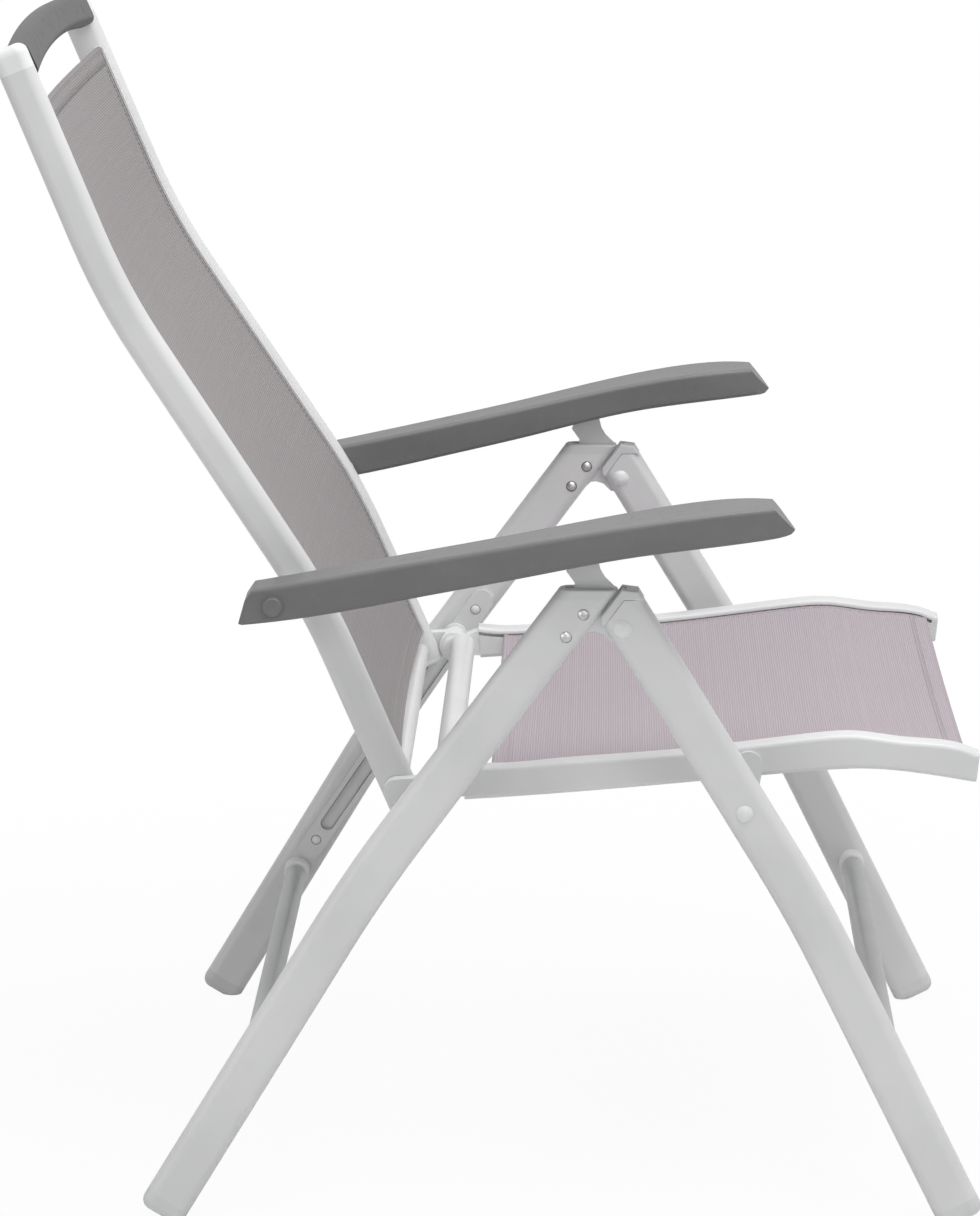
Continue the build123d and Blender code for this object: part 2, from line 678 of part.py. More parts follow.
with BuildPart() as seat_rivet:
    add(disc(seat_pivot, pivot_radius, rail_out, leg_out + slip_clearance))
    add(dome(seat_pivot, pivot_head, pivot_dome, leg_out + slip_clearance, 1))
save_both(seat_rivet.part, "seat_pivot_rivets")

# Front bar between the seat rails
with BuildPart() as front_bar:
    add(disc(front_bar_point, front_bar_radius, -rail_in, rail_in))
    add(disc(front_bar_point, front_bar_radius - front_bar_wall, -rail_in, rail_in), mode=Mode.SUBTRACT)
save(front_bar.part, "seat_front_bar")

# Seat sling, hung between the rails
upper = offset_line(rail_top, groove_drop - sling_thickness / 2)
lower = offset_line(rail_top, groove_drop + sling_thickness / 2)
sling_reach = rail_in + groove_depth - sling_edge_inset
with BuildPart() as seat_sling:
    add(strip(upper, lower[::-1], -sling_reach, sling_reach))
    split(bisect_by=Plane.YZ.offset(feet_mid_x + seat_sling_ends[0]), keep=Keep.TOP)
    split(bisect_by=Plane.YZ.offset(feet_mid_x + seat_sling_ends[1]), keep=Keep.BOTTOM)
save(seat_sling.part, "seat_sling")

# Backrest tubes, in a plane that leans inwards

def on_tilt(point):
    """A side view point in the coordinates of the leaning plane."""
    return (point[0], (point[1] - back_mid_z) / math.cos(tilt))


tilted_path = [on_tilt(point) for point in back_path_bends]


def back_sweep(draw):
    """Sweep a section drawn about the tube's centre line along the backrest, as a loose part."""
    with BuildPart(mode=Mode.PRIVATE) as swept:
        with BuildLine(inward) as path:
            FilletPolyline(*tilted_path, radius=tube_bend_radius)
        start = Plane(origin=path.line @ 0, x_dir=inward.z_dir, z_dir=path.line % 0)
        with BuildSketch(start):
            draw()
        sweep()
    return swept.part


def tube_section():
    """The backrest tube's hollow oval."""
    RectangleRounded(tube_width, tube_depth, tube_corner)
    RectangleRounded(tube_width - 2 * tube_wall, tube_depth - 2 * tube_wall, tube_corner - tube_wall,
                     mode=Mode.SUBTRACT)


def strip_section():
    """The sling strip on the tube's inner face, with its slot."""
    with Locations((-tube_width / 2 - strip_width / 2, strip_forward)):
        Rectangle(strip_width, strip_depth)
    with Locations((-tube_width / 2 - strip_width + strip_slot_depth / 2, strip_forward)):
        Rectangle(strip_slot_depth, strip_slot_height, mode=Mode.SUBTRACT)


save_pair(back_sweep(tube_section), "backrest_tube")
strips = back_sweep(strip_section)
with BuildPart() as keder_strip:
    add(strips)
    split(bisect_by=Plane.XY.offset(back_sling_ends[0]), keep=Keep.TOP)
    split(bisect_by=Plane.XY.offset(back_sling_ends[1]), keep=Keep.BOTTOM)
save_pair(keder_strip.part, "backrest_strip")

# Closing caps on the backrest tubes
tube_top = back_path[-1]
tube_step = (Vector(*on_tilt(tube_top)) - Vector(*on_tilt(back_path[-2]))).normalized()
tube_low = back_path[0]
low_step = (Vector(*on_tilt(tube_low)) - Vector(*on_tilt(back_path[1]))).normalized()
inner = tube_wall + slip_clearance
for node, point, step, length, bend, depth in (
        ("backrest_top_caps", tube_top, tube_step, tube_cap_length,
         tube_corner * tube_cap_fillet_share, tube_cap_spigot),
        ("backrest_foot_caps", tube_low, low_step, tube_foot_length, tube_foot_fillet, tube_cap_spigot)):
    outward = inward.x_dir * step.X + inward.y_dir * step.Y
    at = on_tilt(point)
    seat_at = inward.origin + inward.x_dir * at[0] + inward.y_dir * at[1]
    cap_plane = Plane(origin=seat_at, x_dir=inward.z_dir, z_dir=outward)
    with BuildPart() as cap:
        with BuildSketch(cap_plane):
            RectangleRounded(tube_width, tube_depth, tube_corner)
        extrude(amount=length)
        end = cap.faces().sort_by(Axis((0, 0, 0), outward))[-1]
        fillet(end.edges(), radius=bend)
        with BuildSketch(cap_plane):
            RectangleRounded(tube_width - 2 * inner, tube_depth - 2 * inner, tube_corner - inner)
        extrude(amount=-depth)
    save_both(cap.part, node)


# Backrest sling, stretched straight across between the strips
sling_side = tube_width / 2 + strip_width - strip_slot_depth + sling_edge_inset
right_edge = inward.offset(-sling_side)
left_edge = Plane(origin=(right_edge.origin.X, -right_edge.origin.Y, right_edge.origin.Z),
                  x_dir=(1, 0, 0), z_dir=(0, -right_edge.z_dir.Y, right_edge.z_dir.Z))
with BuildPart() as back_sling:
    with BuildLine(side(0)) as path:
        FilletPolyline(*back_path_bends, radius=tube_bend_radius)
    start = Plane(origin=path.line @ 0, x_dir=(0, -1, 0), z_dir=path.line % 0)
    with BuildSketch(start):
        with Locations((0, strip_forward)):
            Rectangle(2 * back_mid_y, sling_thickness)
    sweep()
    split(bisect_by=right_edge, keep=Keep.BOTTOM)
    split(bisect_by=left_edge, keep=Keep.BOTTOM)
    split(bisect_by=Plane.XY.offset(back_sling_ends[0]), keep=Keep.TOP)
    split(bisect_by=Plane.XY.offset(back_sling_ends[1]), keep=Keep.BOTTOM)
save(back_sling.part, "backrest_sling")

# Lower cross tube of the backrest
cross_reach = tube_y(back_cross_point[1]) - tube_width / 2 - slip_clearance
with BuildPart() as back_cross:
    add(disc(back_cross_point, back_cross_radius, -cross_reach, cross_reach))
    add(disc(back_cross_point, back_cross_radius - back_cross_wall, -cross_reach, cross_reach),
        mode=Mode.SUBTRACT)
save(back_cross.part, "backrest_cross_tube")

# Hinge brackets and the bolts that hold them
with BuildPart() as hinge:
    add(link(hinge_rear_point, axle_point, hinge_radius, hinge_inner_y, hinge_outer_y))
    add(disc(axle_point, axle_radius + pivot_clearance, hinge_inner_y, hinge_outer_y),
        mode=Mode.SUBTRACT)
    add(disc(hinge_rear_point, hinge_bolt_radius + pivot_clearance, hinge_inner_y, hinge_outer_y),
        mode=Mode.SUBTRACT)
save_pair(hinge.part, "hinge_bracket")

with BuildPart() as hinge_bolts:
    add(disc(hinge_rear_point, hinge_bolt_radius, hinge_inner_y, hinge_outer_y))
    add(disc(hinge_rear_point, hinge_bolt_head, hinge_outer_y, hinge_outer_y + hinge_bolt_dome))
save_both(hinge_bolts.part, "hinge_bolts")

# Carry handle, an arch between the tube tops
with BuildPart() as handle:
    with BuildLine() as path:
        ThreePointArc((feet_mid_x + handle_end[0], -handle_end_y, handle_end[1]),
                      (feet_mid_x + handle_mid[0], 0, handle_mid[1]),
                      (feet_mid_x + handle_end[0], handle_end_y, handle_end[1]))
    start = Plane(origin=path.line @ 0, x_dir=(math.cos(math.radians(handle_lean)), 0,
                                               math.sin(math.radians(handle_lean))),
                  z_dir=path.line % 0)
    with BuildSketch(start):
        RectangleRounded(handle_width, handle_depth, handle_corner)
    sweep()
save(handle.part, "carry_handle")

# Lugs that carry the armrest pins behind the backrest tubes
with BuildPart() as arm_lug:
    add(link(arm_pivot, arm_lug_root, arm_lug_radius, arm_lug_inner_y, arm_lug_outer_y))
    add(disc(arm_pivot, arm_pin_radius + pivot_clearance, arm_lug_inner_y, arm_lug_outer_y),
        mode=Mode.SUBTRACT)
save_pair(arm_lug.part, "arm_lug")

with BuildPart() as arm_pin:
    add(disc(arm_pivot, arm_pin_radius, arm_pin_inner_y, arm_pin_outer_y))
    add(disc(arm_pivot, arm_cap_radius, arm_pin_outer_y + slip_clearance * 2,
             arm_pin_outer_y + slip_clearance * 2 + arm_cap_thickness))
    add(disc(arm_pivot, arm_pin_radius, arm_pin_outer_y, arm_pin_outer_y + slip_clearance * 2))
    fillet(arm_pin.faces().sort_by(Axis.Y)[0].edges(), radius=small_fillet)
save_pair(arm_pin.part, "arm_pin")

with BuildPart() as arm_bush:
    add(disc(arm_pivot, arm_bush_radius, arm_bush_inner_y, arm_bush_outer_y))
    add(disc(arm_pivot, arm_pin_radius + pivot_clearance, arm_bush_inner_y, arm_bush_outer_y),
        mode=Mode.SUBTRACT)
save_both(arm_bush.part, "arm_bushes")


# Armrests, as moulded shells open underneath
def arm_solid(top, bottom, inner_edge, outer_edge):
    """The side view outline and the plan outline, crossed, as a loose part."""
    with BuildPart(mode=Mode.PRIVATE) as block:
        with BuildSketch(side(0)):
            with BuildLine():
                Line(top[0], top[1])
                Spline(*top[1:])
                Line(top[-1], bottom[0])
                Line(bottom[0], bottom[1])
                Spline(*bottom[1:])
                Line(bottom[-1], top[0])
            make_face()
        extrude(amount=2 * leg_mid_y)
        with BuildSketch(Plane(origin=(feet_mid_x, 0, 0))):
            with BuildLine():
                Spline(*[(x, -y) for x, y in inner_edge])
                Line((inner_edge[-1][0], -inner_edge[-1][1]), (outer_edge[0][0], -outer_edge[0][1]))
                Spline(*[(x, -y) for x, y in outer_edge])
                ThreePointArc((outer_edge[-1][0], -outer_edge[-1][1]),
                              (outer_edge[-1][0] - arm_rear_round, -(outer_edge[-1][1] + inner_edge[0][1]) / 2),
                              (inner_edge[0][0], -inner_edge[0][1]))
            make_face()
        extrude(amount=2 * back_top_z, mode=Mode.INTERSECT)
    return block.part


outer_body = arm_solid(arm_top, arm_bottom, arm_plan_inner, arm_plan_outer)
cut_top = [(max(x, arm_top[0][0] + arm_wall), z - arm_top_wall) for x, z in arm_top]
cut_top[-1] = (arm_front_wall_x - arm_wall, cut_top[-1][1])
cut_low = [(arm_front_wall_x, arm_bottom[0][1] - overrun),
           (arm_front_wall_x - arm_wall, arm_bottom[0][1] - overrun),
           *[(x, z - overrun) for x, z in arm_bottom[2:-1]],
           (arm_top[0][0] + arm_wall, arm_bottom[-1][1] - overrun)]
cut_inner = [(x, y + arm_wall) for x, y in arm_plan_inner]
cut_outer = [(x - arm_wall, y - arm_wall) if i < 2 else (x, y - arm_wall)
             for i, (x, y) in enumerate(arm_plan_outer)]
with BuildPart() as armrest:
    add(outer_body)
    top_z = arm_top[0][1]
    top_edges = [edge for edge in armrest.edges()
                 if edge.center().Z > top_z and edge.length > overrun]
    fillet(top_edges, radius=arm_fillet)
    add(arm_solid(cut_top, cut_low, cut_inner, cut_outer), mode=Mode.SUBTRACT)
    add(disc(arm_pivot, arm_pin_radius + pivot_clearance, arm_lug_inner_y, arm_cap_radius + leg_out),
        mode=Mode.SUBTRACT)
save_pair(armrest.part, "armrest")

# Toothed racks under the armrests, one strip on each side of the bracket plate
reach_angle = math.atan2(rack_pin_point[1] - arm_pivot[1], rack_pin_point[0] - arm_pivot[0])
along = Vector(math.cos(reach_angle), math.sin(reach_angle))
above = Vector(-along.Y, along.X)


def on_arm(distance, height):
    """A side view point at a distance from the arm pivot and a height above the pin line."""
    return (arm_pivot[0] + along.X * distance + above.X * height,
            arm_pivot[1] + along.Y * distance + above.Y * height)


tip = rack_pin_radius + rack_tooth_clear
root = tip + rack_notch_depth
teeth = [on_arm(rack_first - rack_end_margin, rack_top), on_arm(rack_first - rack_end_margin, tip)]
for index in range(rack_count):
    centre = rack_first + index * rack_pitch
    half_low = rack_pitch * (1 - rack_tooth_share) / 2
    half_high = half_low - small_fillet
    teeth.append(on_arm(centre - half_low, tip))
    teeth.append(on_arm(centre - half_high, root - rack_tooth_clear))
    teeth.append(on_arm(centre + half_high, root - rack_tooth_clear))
    teeth.append(on_arm(centre + half_low, tip))
last = rack_first + (rack_count - 1) * rack_pitch + rack_end_margin
teeth += [on_arm(last, tip), on_arm(last, rack_top)]
rack_roof = [(x, z - slip_clearance) for x, z in cut_top]
with BuildPart() as rack:
    add(slab(teeth, leg_mid_y - rack_gap - rack_thickness, leg_mid_y - rack_gap))
    add(slab(teeth, leg_mid_y + rack_gap, leg_mid_y + rack_gap + rack_thickness))
    add(arm_solid(rack_roof, cut_low, cut_inner, cut_outer), mode=Mode.INTERSECT)
save_pair(rack.part, "arm_rack")
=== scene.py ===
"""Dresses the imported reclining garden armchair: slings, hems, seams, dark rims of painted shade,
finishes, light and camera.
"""

import logging
import math
from dataclasses import dataclass, field
from enum import Enum
from typing import Callable, Sequence

import bmesh
import bpy
import numpy as np
from mathutils import Matrix, Vector

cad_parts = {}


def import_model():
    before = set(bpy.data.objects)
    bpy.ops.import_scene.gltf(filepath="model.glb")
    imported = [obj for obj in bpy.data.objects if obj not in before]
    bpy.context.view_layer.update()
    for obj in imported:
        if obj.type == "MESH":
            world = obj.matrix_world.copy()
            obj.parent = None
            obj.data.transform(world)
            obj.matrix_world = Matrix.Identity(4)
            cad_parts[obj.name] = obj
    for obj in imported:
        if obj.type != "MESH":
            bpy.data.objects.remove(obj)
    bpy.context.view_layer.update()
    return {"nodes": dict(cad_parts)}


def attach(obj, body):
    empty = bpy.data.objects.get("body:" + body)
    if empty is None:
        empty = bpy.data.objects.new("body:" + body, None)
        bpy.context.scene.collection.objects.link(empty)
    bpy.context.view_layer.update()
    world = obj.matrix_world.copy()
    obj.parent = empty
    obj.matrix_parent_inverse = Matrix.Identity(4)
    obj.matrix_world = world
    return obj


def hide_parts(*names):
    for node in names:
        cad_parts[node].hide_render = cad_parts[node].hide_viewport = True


log = logging.getLogger("armchair")

Point = tuple[float, float, float]
Flat = tuple[float, float]

# The side view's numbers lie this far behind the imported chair's, in metres
SHIFT = 0.0577
RAIL_TOP = [(SHIFT + x, z) for x, z in (
    (-0.0848, 0.3855), (-0.0624, 0.3835), (-0.0100, 0.3874), (0.0987, 0.3968), (0.1480, 0.4030),
    (0.2087, 0.4110), (0.2433, 0.4135), (0.2869, 0.4085), (0.3419, 0.4005), (0.3466, 0.3983))]
BACK_TUBE = [(SHIFT + x, z) for x, z in (
    (-0.1340, 0.3520), (-0.2083, 0.5232), (-0.3757, 0.7800), (-0.4514, 0.9648))]
BACK_FOOT_Z = 0.3826
ARM_PIVOT = (-0.2400, 0.5325)

# How finely curves are followed before points are spread evenly along them
CURVE_PARTS = 12
BEND_PARTS = 24

# A colour Mix node's sockets, which share their names with its other kinds
MIX_FACTOR, MIX_FIRST, MIX_SECOND, MIX_RESULT = 0, 6, 7, 2

# One stitch from end to end: its share of the length and its lift off the cloth
STITCH_SHAPE = ((0.0, -0.0002), (0.15, 0.00016), (0.5, 0.00024), (0.85, 0.00016), (1.0, -0.0002))


class Socket:
    """A shader value that does arithmetic by adding Math nodes."""

    def __init__(self, graph: "Graph", link: bpy.types.NodeSocket) -> None:
        """Keep the graph and the output socket.

        Args:
            graph: The graph that the socket belongs to.
            link: The output socket that carries the value.
        """
        self.graph = graph
        self.link = link

    def _math(self, operation: str, first: object, second: object = None) -> "Socket":
        """Add one Math node.

        Args:
            operation: The Math node's operation.
            first: The first value or link.
            second: The second value or link, if the operation has one.

        Returns:
            The node's result.
        """
        values = {0: first} if second is None else {0: first, 1: second}
        return self.graph.add("ShaderNodeMath", {"operation": operation}, values)

    def __add__(self, other: object) -> "Socket":
        """This value plus another."""
        return self._math("ADD", self, other)

    def __radd__(self, other: object) -> "Socket":
        """Another value plus this one."""
        return self._math("ADD", other, self)

    def __sub__(self, other: object) -> "Socket":
        """This value less another."""
        return self._math("SUBTRACT", self, other)

    def __rsub__(self, other: object) -> "Socket":
        """Another value less this one."""
        return self._math("SUBTRACT", other, self)

    def __mul__(self, other: object) -> "Socket":
        """This value times another."""
        return self._math("MULTIPLY", self, other)

    def __rmul__(self, other: object) -> "Socket":
        """Another value times this one."""
        return self._math("MULTIPLY", other, self)

    def __truediv__(self, other: object) -> "Socket":
        """This value over another."""
        return self._math("DIVIDE", self, other)

    def __pow__(self, other: object) -> "Socket":
        """This value to a power."""
        return self._math("POWER", self, other)

    def sine(self) -> "Socket":
        """The sine of this value."""
        return self._math("SINE", self)

    def whole(self) -> "Socket":
        """The whole number below this value."""
        return self._math("FLOOR", self)

    def larger(self, other: object) -> "Socket":
        """The larger of this value and another."""
        return self._math("MAXIMUM", self, other)

    def smooth(self, low: float, high: float) -> "Socket":
        """A soft step from zero at low to one at high.

        Args:
            low: Where the step starts.
            high: Where it ends.

        Returns:
            The stepped value.
        """
        values = {"Value": self, "From Min": low, "From Max": high}
        return self.graph.add("ShaderNodeMapRange", {"interpolation_type": "SMOOTHSTEP"}, values)


class Graph:
    """The node tree of a material or of the world, with its shader."""

    def __init__(self, owner: bpy.types.Material | bpy.types.World,
                 shader: str = "Principled BSDF") -> None:
        """Start on an empty material or world.

        Args:
            owner: The material or world.
            shader: The name of the shader that it starts with.
        """
        owner.use_nodes = True
        self.owner = owner
        self.nodes = owner.node_tree.nodes
        self.links = owner.node_tree.links
        self.shader = self.nodes[shader]

    def add(self, kind: str, settings: dict | None = None, values: dict | None = None,
            output: str | int = 0) -> Socket:
        """Add one node of any kind.

        Args:
            kind: The node's type.
            settings: Its settings, set first.
            values: Its inputs, by name or number, as values or links.
            output: The output that is handed back.

        Returns:
            The chosen output.
        """
        node = self.nodes.new(kind)
        for key, value in (settings or {}).items():
            setattr(node, key, value)
        for key, value in (values or {}).items():
            self.feed(node.inputs[key], value)
        return Socket(self, node.outputs[output])

    def feed(self, target: bpy.types.NodeSocket, value: object) -> None:
        """Set or link one input.

        Args:
            target: The input socket.
            value: A Socket, a number, or a tuple of numbers.
        """
        if isinstance(value, Socket):
            self.links.new(value.link, target)
        elif isinstance(value, tuple) and len(value) == 3 and len(target.default_value) == 4:
            target.default_value = (*value, 1.0)
        else:
            target.default_value = value

    def place(self) -> Socket:
        """The point on the surface, in metres, on the piece itself."""
        return self.add("ShaderNodeTexCoord", output="Object")

    def noise(self, scale: float, detail: float = 2.0, rough: float = 0.5,
              stretch: Point = (1.0, 1.0, 1.0)) -> Socket:
        """Soft noise over the surface.

        Args:
            scale: How many lumps to a metre.
            detail: How many finer layers.
            rough: How strong the finer layers are.
            stretch: Scale along each axis.

        Returns:
            The noise, from zero to one.
        """
        place = self.add("ShaderNodeMapping", values={"Vector": self.place(), "Scale": stretch})
        values = {"Vector": place, "Scale": scale, "Detail": detail, "Roughness": rough}
        return self.add("ShaderNodeTexNoise", values=values)

    def cells(self, scale: float) -> Socket:
        """The distance to the nearest of many scattered points."""
        return self.add("ShaderNodeTexVoronoi", values={"Vector": self.place(), "Scale": scale})

    def blend(self, factor: Socket, first: object, second: object) -> Socket:
        """Mix two colours.

        Args:
            factor: Zero for the first colour and one for the second.
            first: A colour or link.
            second: A colour or link.

        Returns:
            The mixed colour.
        """
        values = {MIX_FACTOR: factor, MIX_FIRST: first, MIX_SECOND: second}
        return self.add("ShaderNodeMix", {"data_type": "RGBA"}, values, MIX_RESULT)

    def bump(self, height: Socket, strength: float, depth: float) -> Socket:
        """A surface relief.

        Args:
            height: The relief, from zero to one.
            strength: How much it shows.
            depth: Its depth in metres.

        Returns:
            The bent normal.
        """
        values = {"Height": height, "Strength": strength, "Distance": depth}
        return self.add("ShaderNodeBump", values=values)

    def finish(self, **inputs: object) -> bpy.types.Material | bpy.types.World:
        """Feed the shader's inputs, named with underscores for spaces.

        Args:
            inputs: Values or links.

        Returns:
            The material or world.
        """
        for key, value in inputs.items():
            self.feed(self.shader.inputs[key.replace("_", " ")], value)
        return self.owner


@dataclass(frozen=True)
class PowderCoat:
    """Baked paint on metal tube, with its orange peel, dust and scuffs."""

    name: str
    colour: Point = (0.69, 0.692, 0.695)
    shade: Point = (0.635, 0.638, 0.642)
    gloss: float = 0.36
    peel: float = 520.0
    depth: float = 0.0004
    scuffed: Point = (0.50, 0.50, 0.50)
    sparkle: Point = (0.82, 0.83, 0.84)
    coat: float = 0.12
    coat_rough: float = 0.35

    def make(self) -> bpy.types.Material:
        """Build the paint.

        Returns:
            The finished material.
        """
        g = Graph(bpy.data.materials.new(self.name))
        cloud = g.noise(9.0, 3.0)
        dust = g.noise(60.0, 5.0, 0.6)
        speck = g.noise(1400.0, 1.0)
        scuff = g.noise(38.0, 6.0, 0.7, (1.0, 1.0, 0.22)).smooth(0.66, 0.78)
        tone = g.blend(cloud.smooth(0.35, 0.7), self.colour, self.shade)
        worn = g.blend(scuff * 0.22, tone, self.scuffed)
        fleck = g.blend(speck.smooth(0.6, 0.75) * 0.12, worn, self.sparkle)
        rough = self.gloss + dust * 0.12 + scuff * 0.16
        relief = g.noise(self.peel, 2.0, 0.45) * 0.8 + speck * 0.2
        return g.finish(Base_Color=fleck, Roughness=rough, Normal=g.bump(relief, 0.22, self.depth),
                        Coat_Weight=self.coat, Coat_Roughness=self.coat_rough)


@dataclass(frozen=True)
class Moulding:
    """Moulded plastic with a fine grain, flow marks and dust."""

    name: str
    colour: Point = (0.138, 0.138, 0.139)
    light: Point = (0.172, 0.172, 0.173)
    dust: Point = (0.26, 0.255, 0.25)
    gloss: float = 0.42
    grain: float = 900.0
    depth: float = 0.0003

    def make(self) -> bpy.types.Material:
        """Build the plastic.

        Returns:
            The finished material.
        """
        g = Graph(bpy.data.materials.new(self.name))
        flow = g.noise(14.0, 4.0, 0.55, (0.3, 1.0, 1.0))
        dust = g.noise(90.0, 6.0, 0.65).smooth(0.52, 0.75)
        grain = g.cells(self.grain)
        tone = g.blend(flow.smooth(0.3, 0.75), self.colour, self.light)
        dusty = g.blend(dust * 0.14, tone, self.dust)
        dots = g.blend(grain.smooth(0.25, 0.6) * 0.14, dusty, self.light)
        rough = self.gloss + flow * 0.10 + dust * 0.14
        relief = grain * 0.7 + g.noise(self.grain * 0.5, 2.0) * 0.3
        return g.finish(Base_Color=dots, Roughness=rough, Normal=g.bump(relief, 0.3, self.depth))


@dataclass(frozen=True)
class Plated:
    """Zinc plated or bare steel, with turning marks."""

    name: str
    colour: Point = (0.62, 0.62, 0.61)
    tarnish: Point = (0.48, 0.475, 0.46)
    gloss: float = 0.28
    depth: float = 0.0001

    def make(self) -> bpy.types.Material:
        """Build the metal.

        Returns:
            The finished material.
        """
        g = Graph(bpy.data.materials.new(self.name))
        cloud = g.noise(160.0, 4.0)
        line = g.noise(2600.0, 2.0, 0.5, (1.0, 0.05, 1.0))
        tone = g.blend(cloud.smooth(0.35, 0.7), self.colour, self.tarnish)
        return g.finish(Base_Color=tone, Metallic=1.0, Roughness=self.gloss + line * 0.16,
                        Normal=g.bump(line, 0.15, self.depth))


@dataclass(frozen=True)
class WovenSling:
    """Coated yarn woven with ribs across the sling, in the sling's own metres."""

    name: str
    colour: Point = (0.262, 0.243, 0.246)
    # The darker colour serves for uneven yarns, soil and the painted shade in the weave's hollows; the
    # lighter one for uneven rows and the painted highlight on the raised yarns
    dark_and_gap_shade: Point = (0.145, 0.133, 0.135)
    light: Point = (0.350, 0.332, 0.333)
    rib: float = 0.0021
    yarn: float = 0.0012
    relief: float = 0.0005
    sheen: float = 0.10
    sheen_rough: float = 0.5

    def make(self) -> bpy.types.Material:
        """Build the cloth.

        Returns:
            The finished material.
        """
        g = Graph(bpy.data.materials.new(self.name))
        split = g.add("ShaderNodeSeparateXYZ", values={0: g.add("ShaderNodeUVMap")})
        across = Socket(g, split.link.node.outputs[0])
        length = Socket(g, split.link.node.outputs[1])
        # The yarns of each rib lie half a yarn beside those of the last
        wave = ((length * (2 * math.pi / self.rib)).sine() + 1.0) * 0.5
        row = (length / self.rib).whole()
        step = across / self.yarn + row * 0.5
        thread = ((step * (2 * math.pi)).sine() + 1.0) * 0.5
        fibre = g.noise(2200.0, 3.0, 0.6)
        band = g.add("ShaderNodeTexNoise", {"noise_dimensions": "1D"},
                     {"W": length * 45.0, "Detail": 2.0})
        warp = g.add("ShaderNodeTexNoise", {"noise_dimensions": "1D"},
                     {"W": across * 90.0, "Detail": 2.0})
        height = wave * 0.62 + thread * wave * 0.28 + fibre * 0.10
        # Where the weave lies low between the ribs, for the painted shade
        gap = (1.0 - wave) ** 2.0 * (1.0 - thread * 0.55)
        # Uneven rows and yarns, then painted shade in the hollows between the ribs, a painted highlight on
        # the raised yarns and a little soil
        tone = g.blend(band.smooth(0.35, 0.7) * 0.16, self.colour, self.light)
        tone = g.blend(warp.smooth(0.45, 0.8) * 0.10, tone, self.dark_and_gap_shade)
        # Painted shade in the hollows between the ribs
        tone = g.blend(gap * 0.62, tone, self.dark_and_gap_shade)
        # Painted highlight on the raised yarns
        tone = g.blend(thread * wave * 0.34, tone, self.light)
        soil = g.noise(7.0, 4.0, 0.6).smooth(0.5, 0.8)
        tone = g.blend(soil * 0.08, tone, self.dark_and_gap_shade)
        rough = 0.66 + fibre * 0.12 - thread * wave * 0.10
        return g.finish(Base_Color=tone, Roughness=rough, Sheen_Weight=self.sheen,
                        Sheen_Roughness=self.sheen_rough, Normal=g.bump(height, 0.7, self.relief))


@dataclass(frozen=True)
class Thread:
    """Twisted sewing thread."""

    name: str
    colour: Point
    darker: float = 0.6
    depth: float = 0.0002

    def make(self) -> bpy.types.Material:
        """Build the thread.

        Returns:
            The finished material.
        """
        g = Graph(bpy.data.materials.new(self.name))
        twist = g.noise(3000.0, 2.0, 0.5, (1.0, 1.0, 0.3))
        dark = tuple(part * self.darker for part in self.colour)
        tone = g.blend(twist, self.colour, dark)
        return g.finish(Base_Color=tone, Roughness=0.6 + twist * 0.2,
                        Normal=g.bump(twist, 0.5, self.depth))


@dataclass(frozen=True)
class StudioFloor:
    """The pale ground, nearly white to the camera, with the chair's soft shadow."""

    name: str
    shade: float = 0.88
    grain: float = 0.985
    near: float = 0.94
    shadow_end: Flat = (0.5, 1.5)

    def make(self) -> bpy.types.Material:
        """Build the ground.

        Returns:
            The finished material.
        """
        g = Graph(bpy.data.materials.new(self.name))
        grain = g.noise(40.0, 4.0)
        tone = g.blend(grain, (self.shade,) * 3, (self.shade * self.grain,) * 3)
        g.finish(Base_Color=tone, Roughness=0.9)
        away = g.add("ShaderNodeVectorMath", {"operation": "LENGTH"}, {0: g.place()}, "Value")
        seen = g.add("ShaderNodeLightPath", output="Is Camera Ray")
        clear = seen * (self.near + away.smooth(*self.shadow_end) * (1.0 - self.near))
        glow = g.add("ShaderNodeEmission", values={"Strength": 1.0})
        values = {0: clear, 1: Socket(g, g.shader.outputs[0]), 2: glow}
        mixed = g.add("ShaderNodeMixShader", values=values)
        g.feed(g.nodes["Material Output"].inputs["Surface"], mixed)
        return g.owner


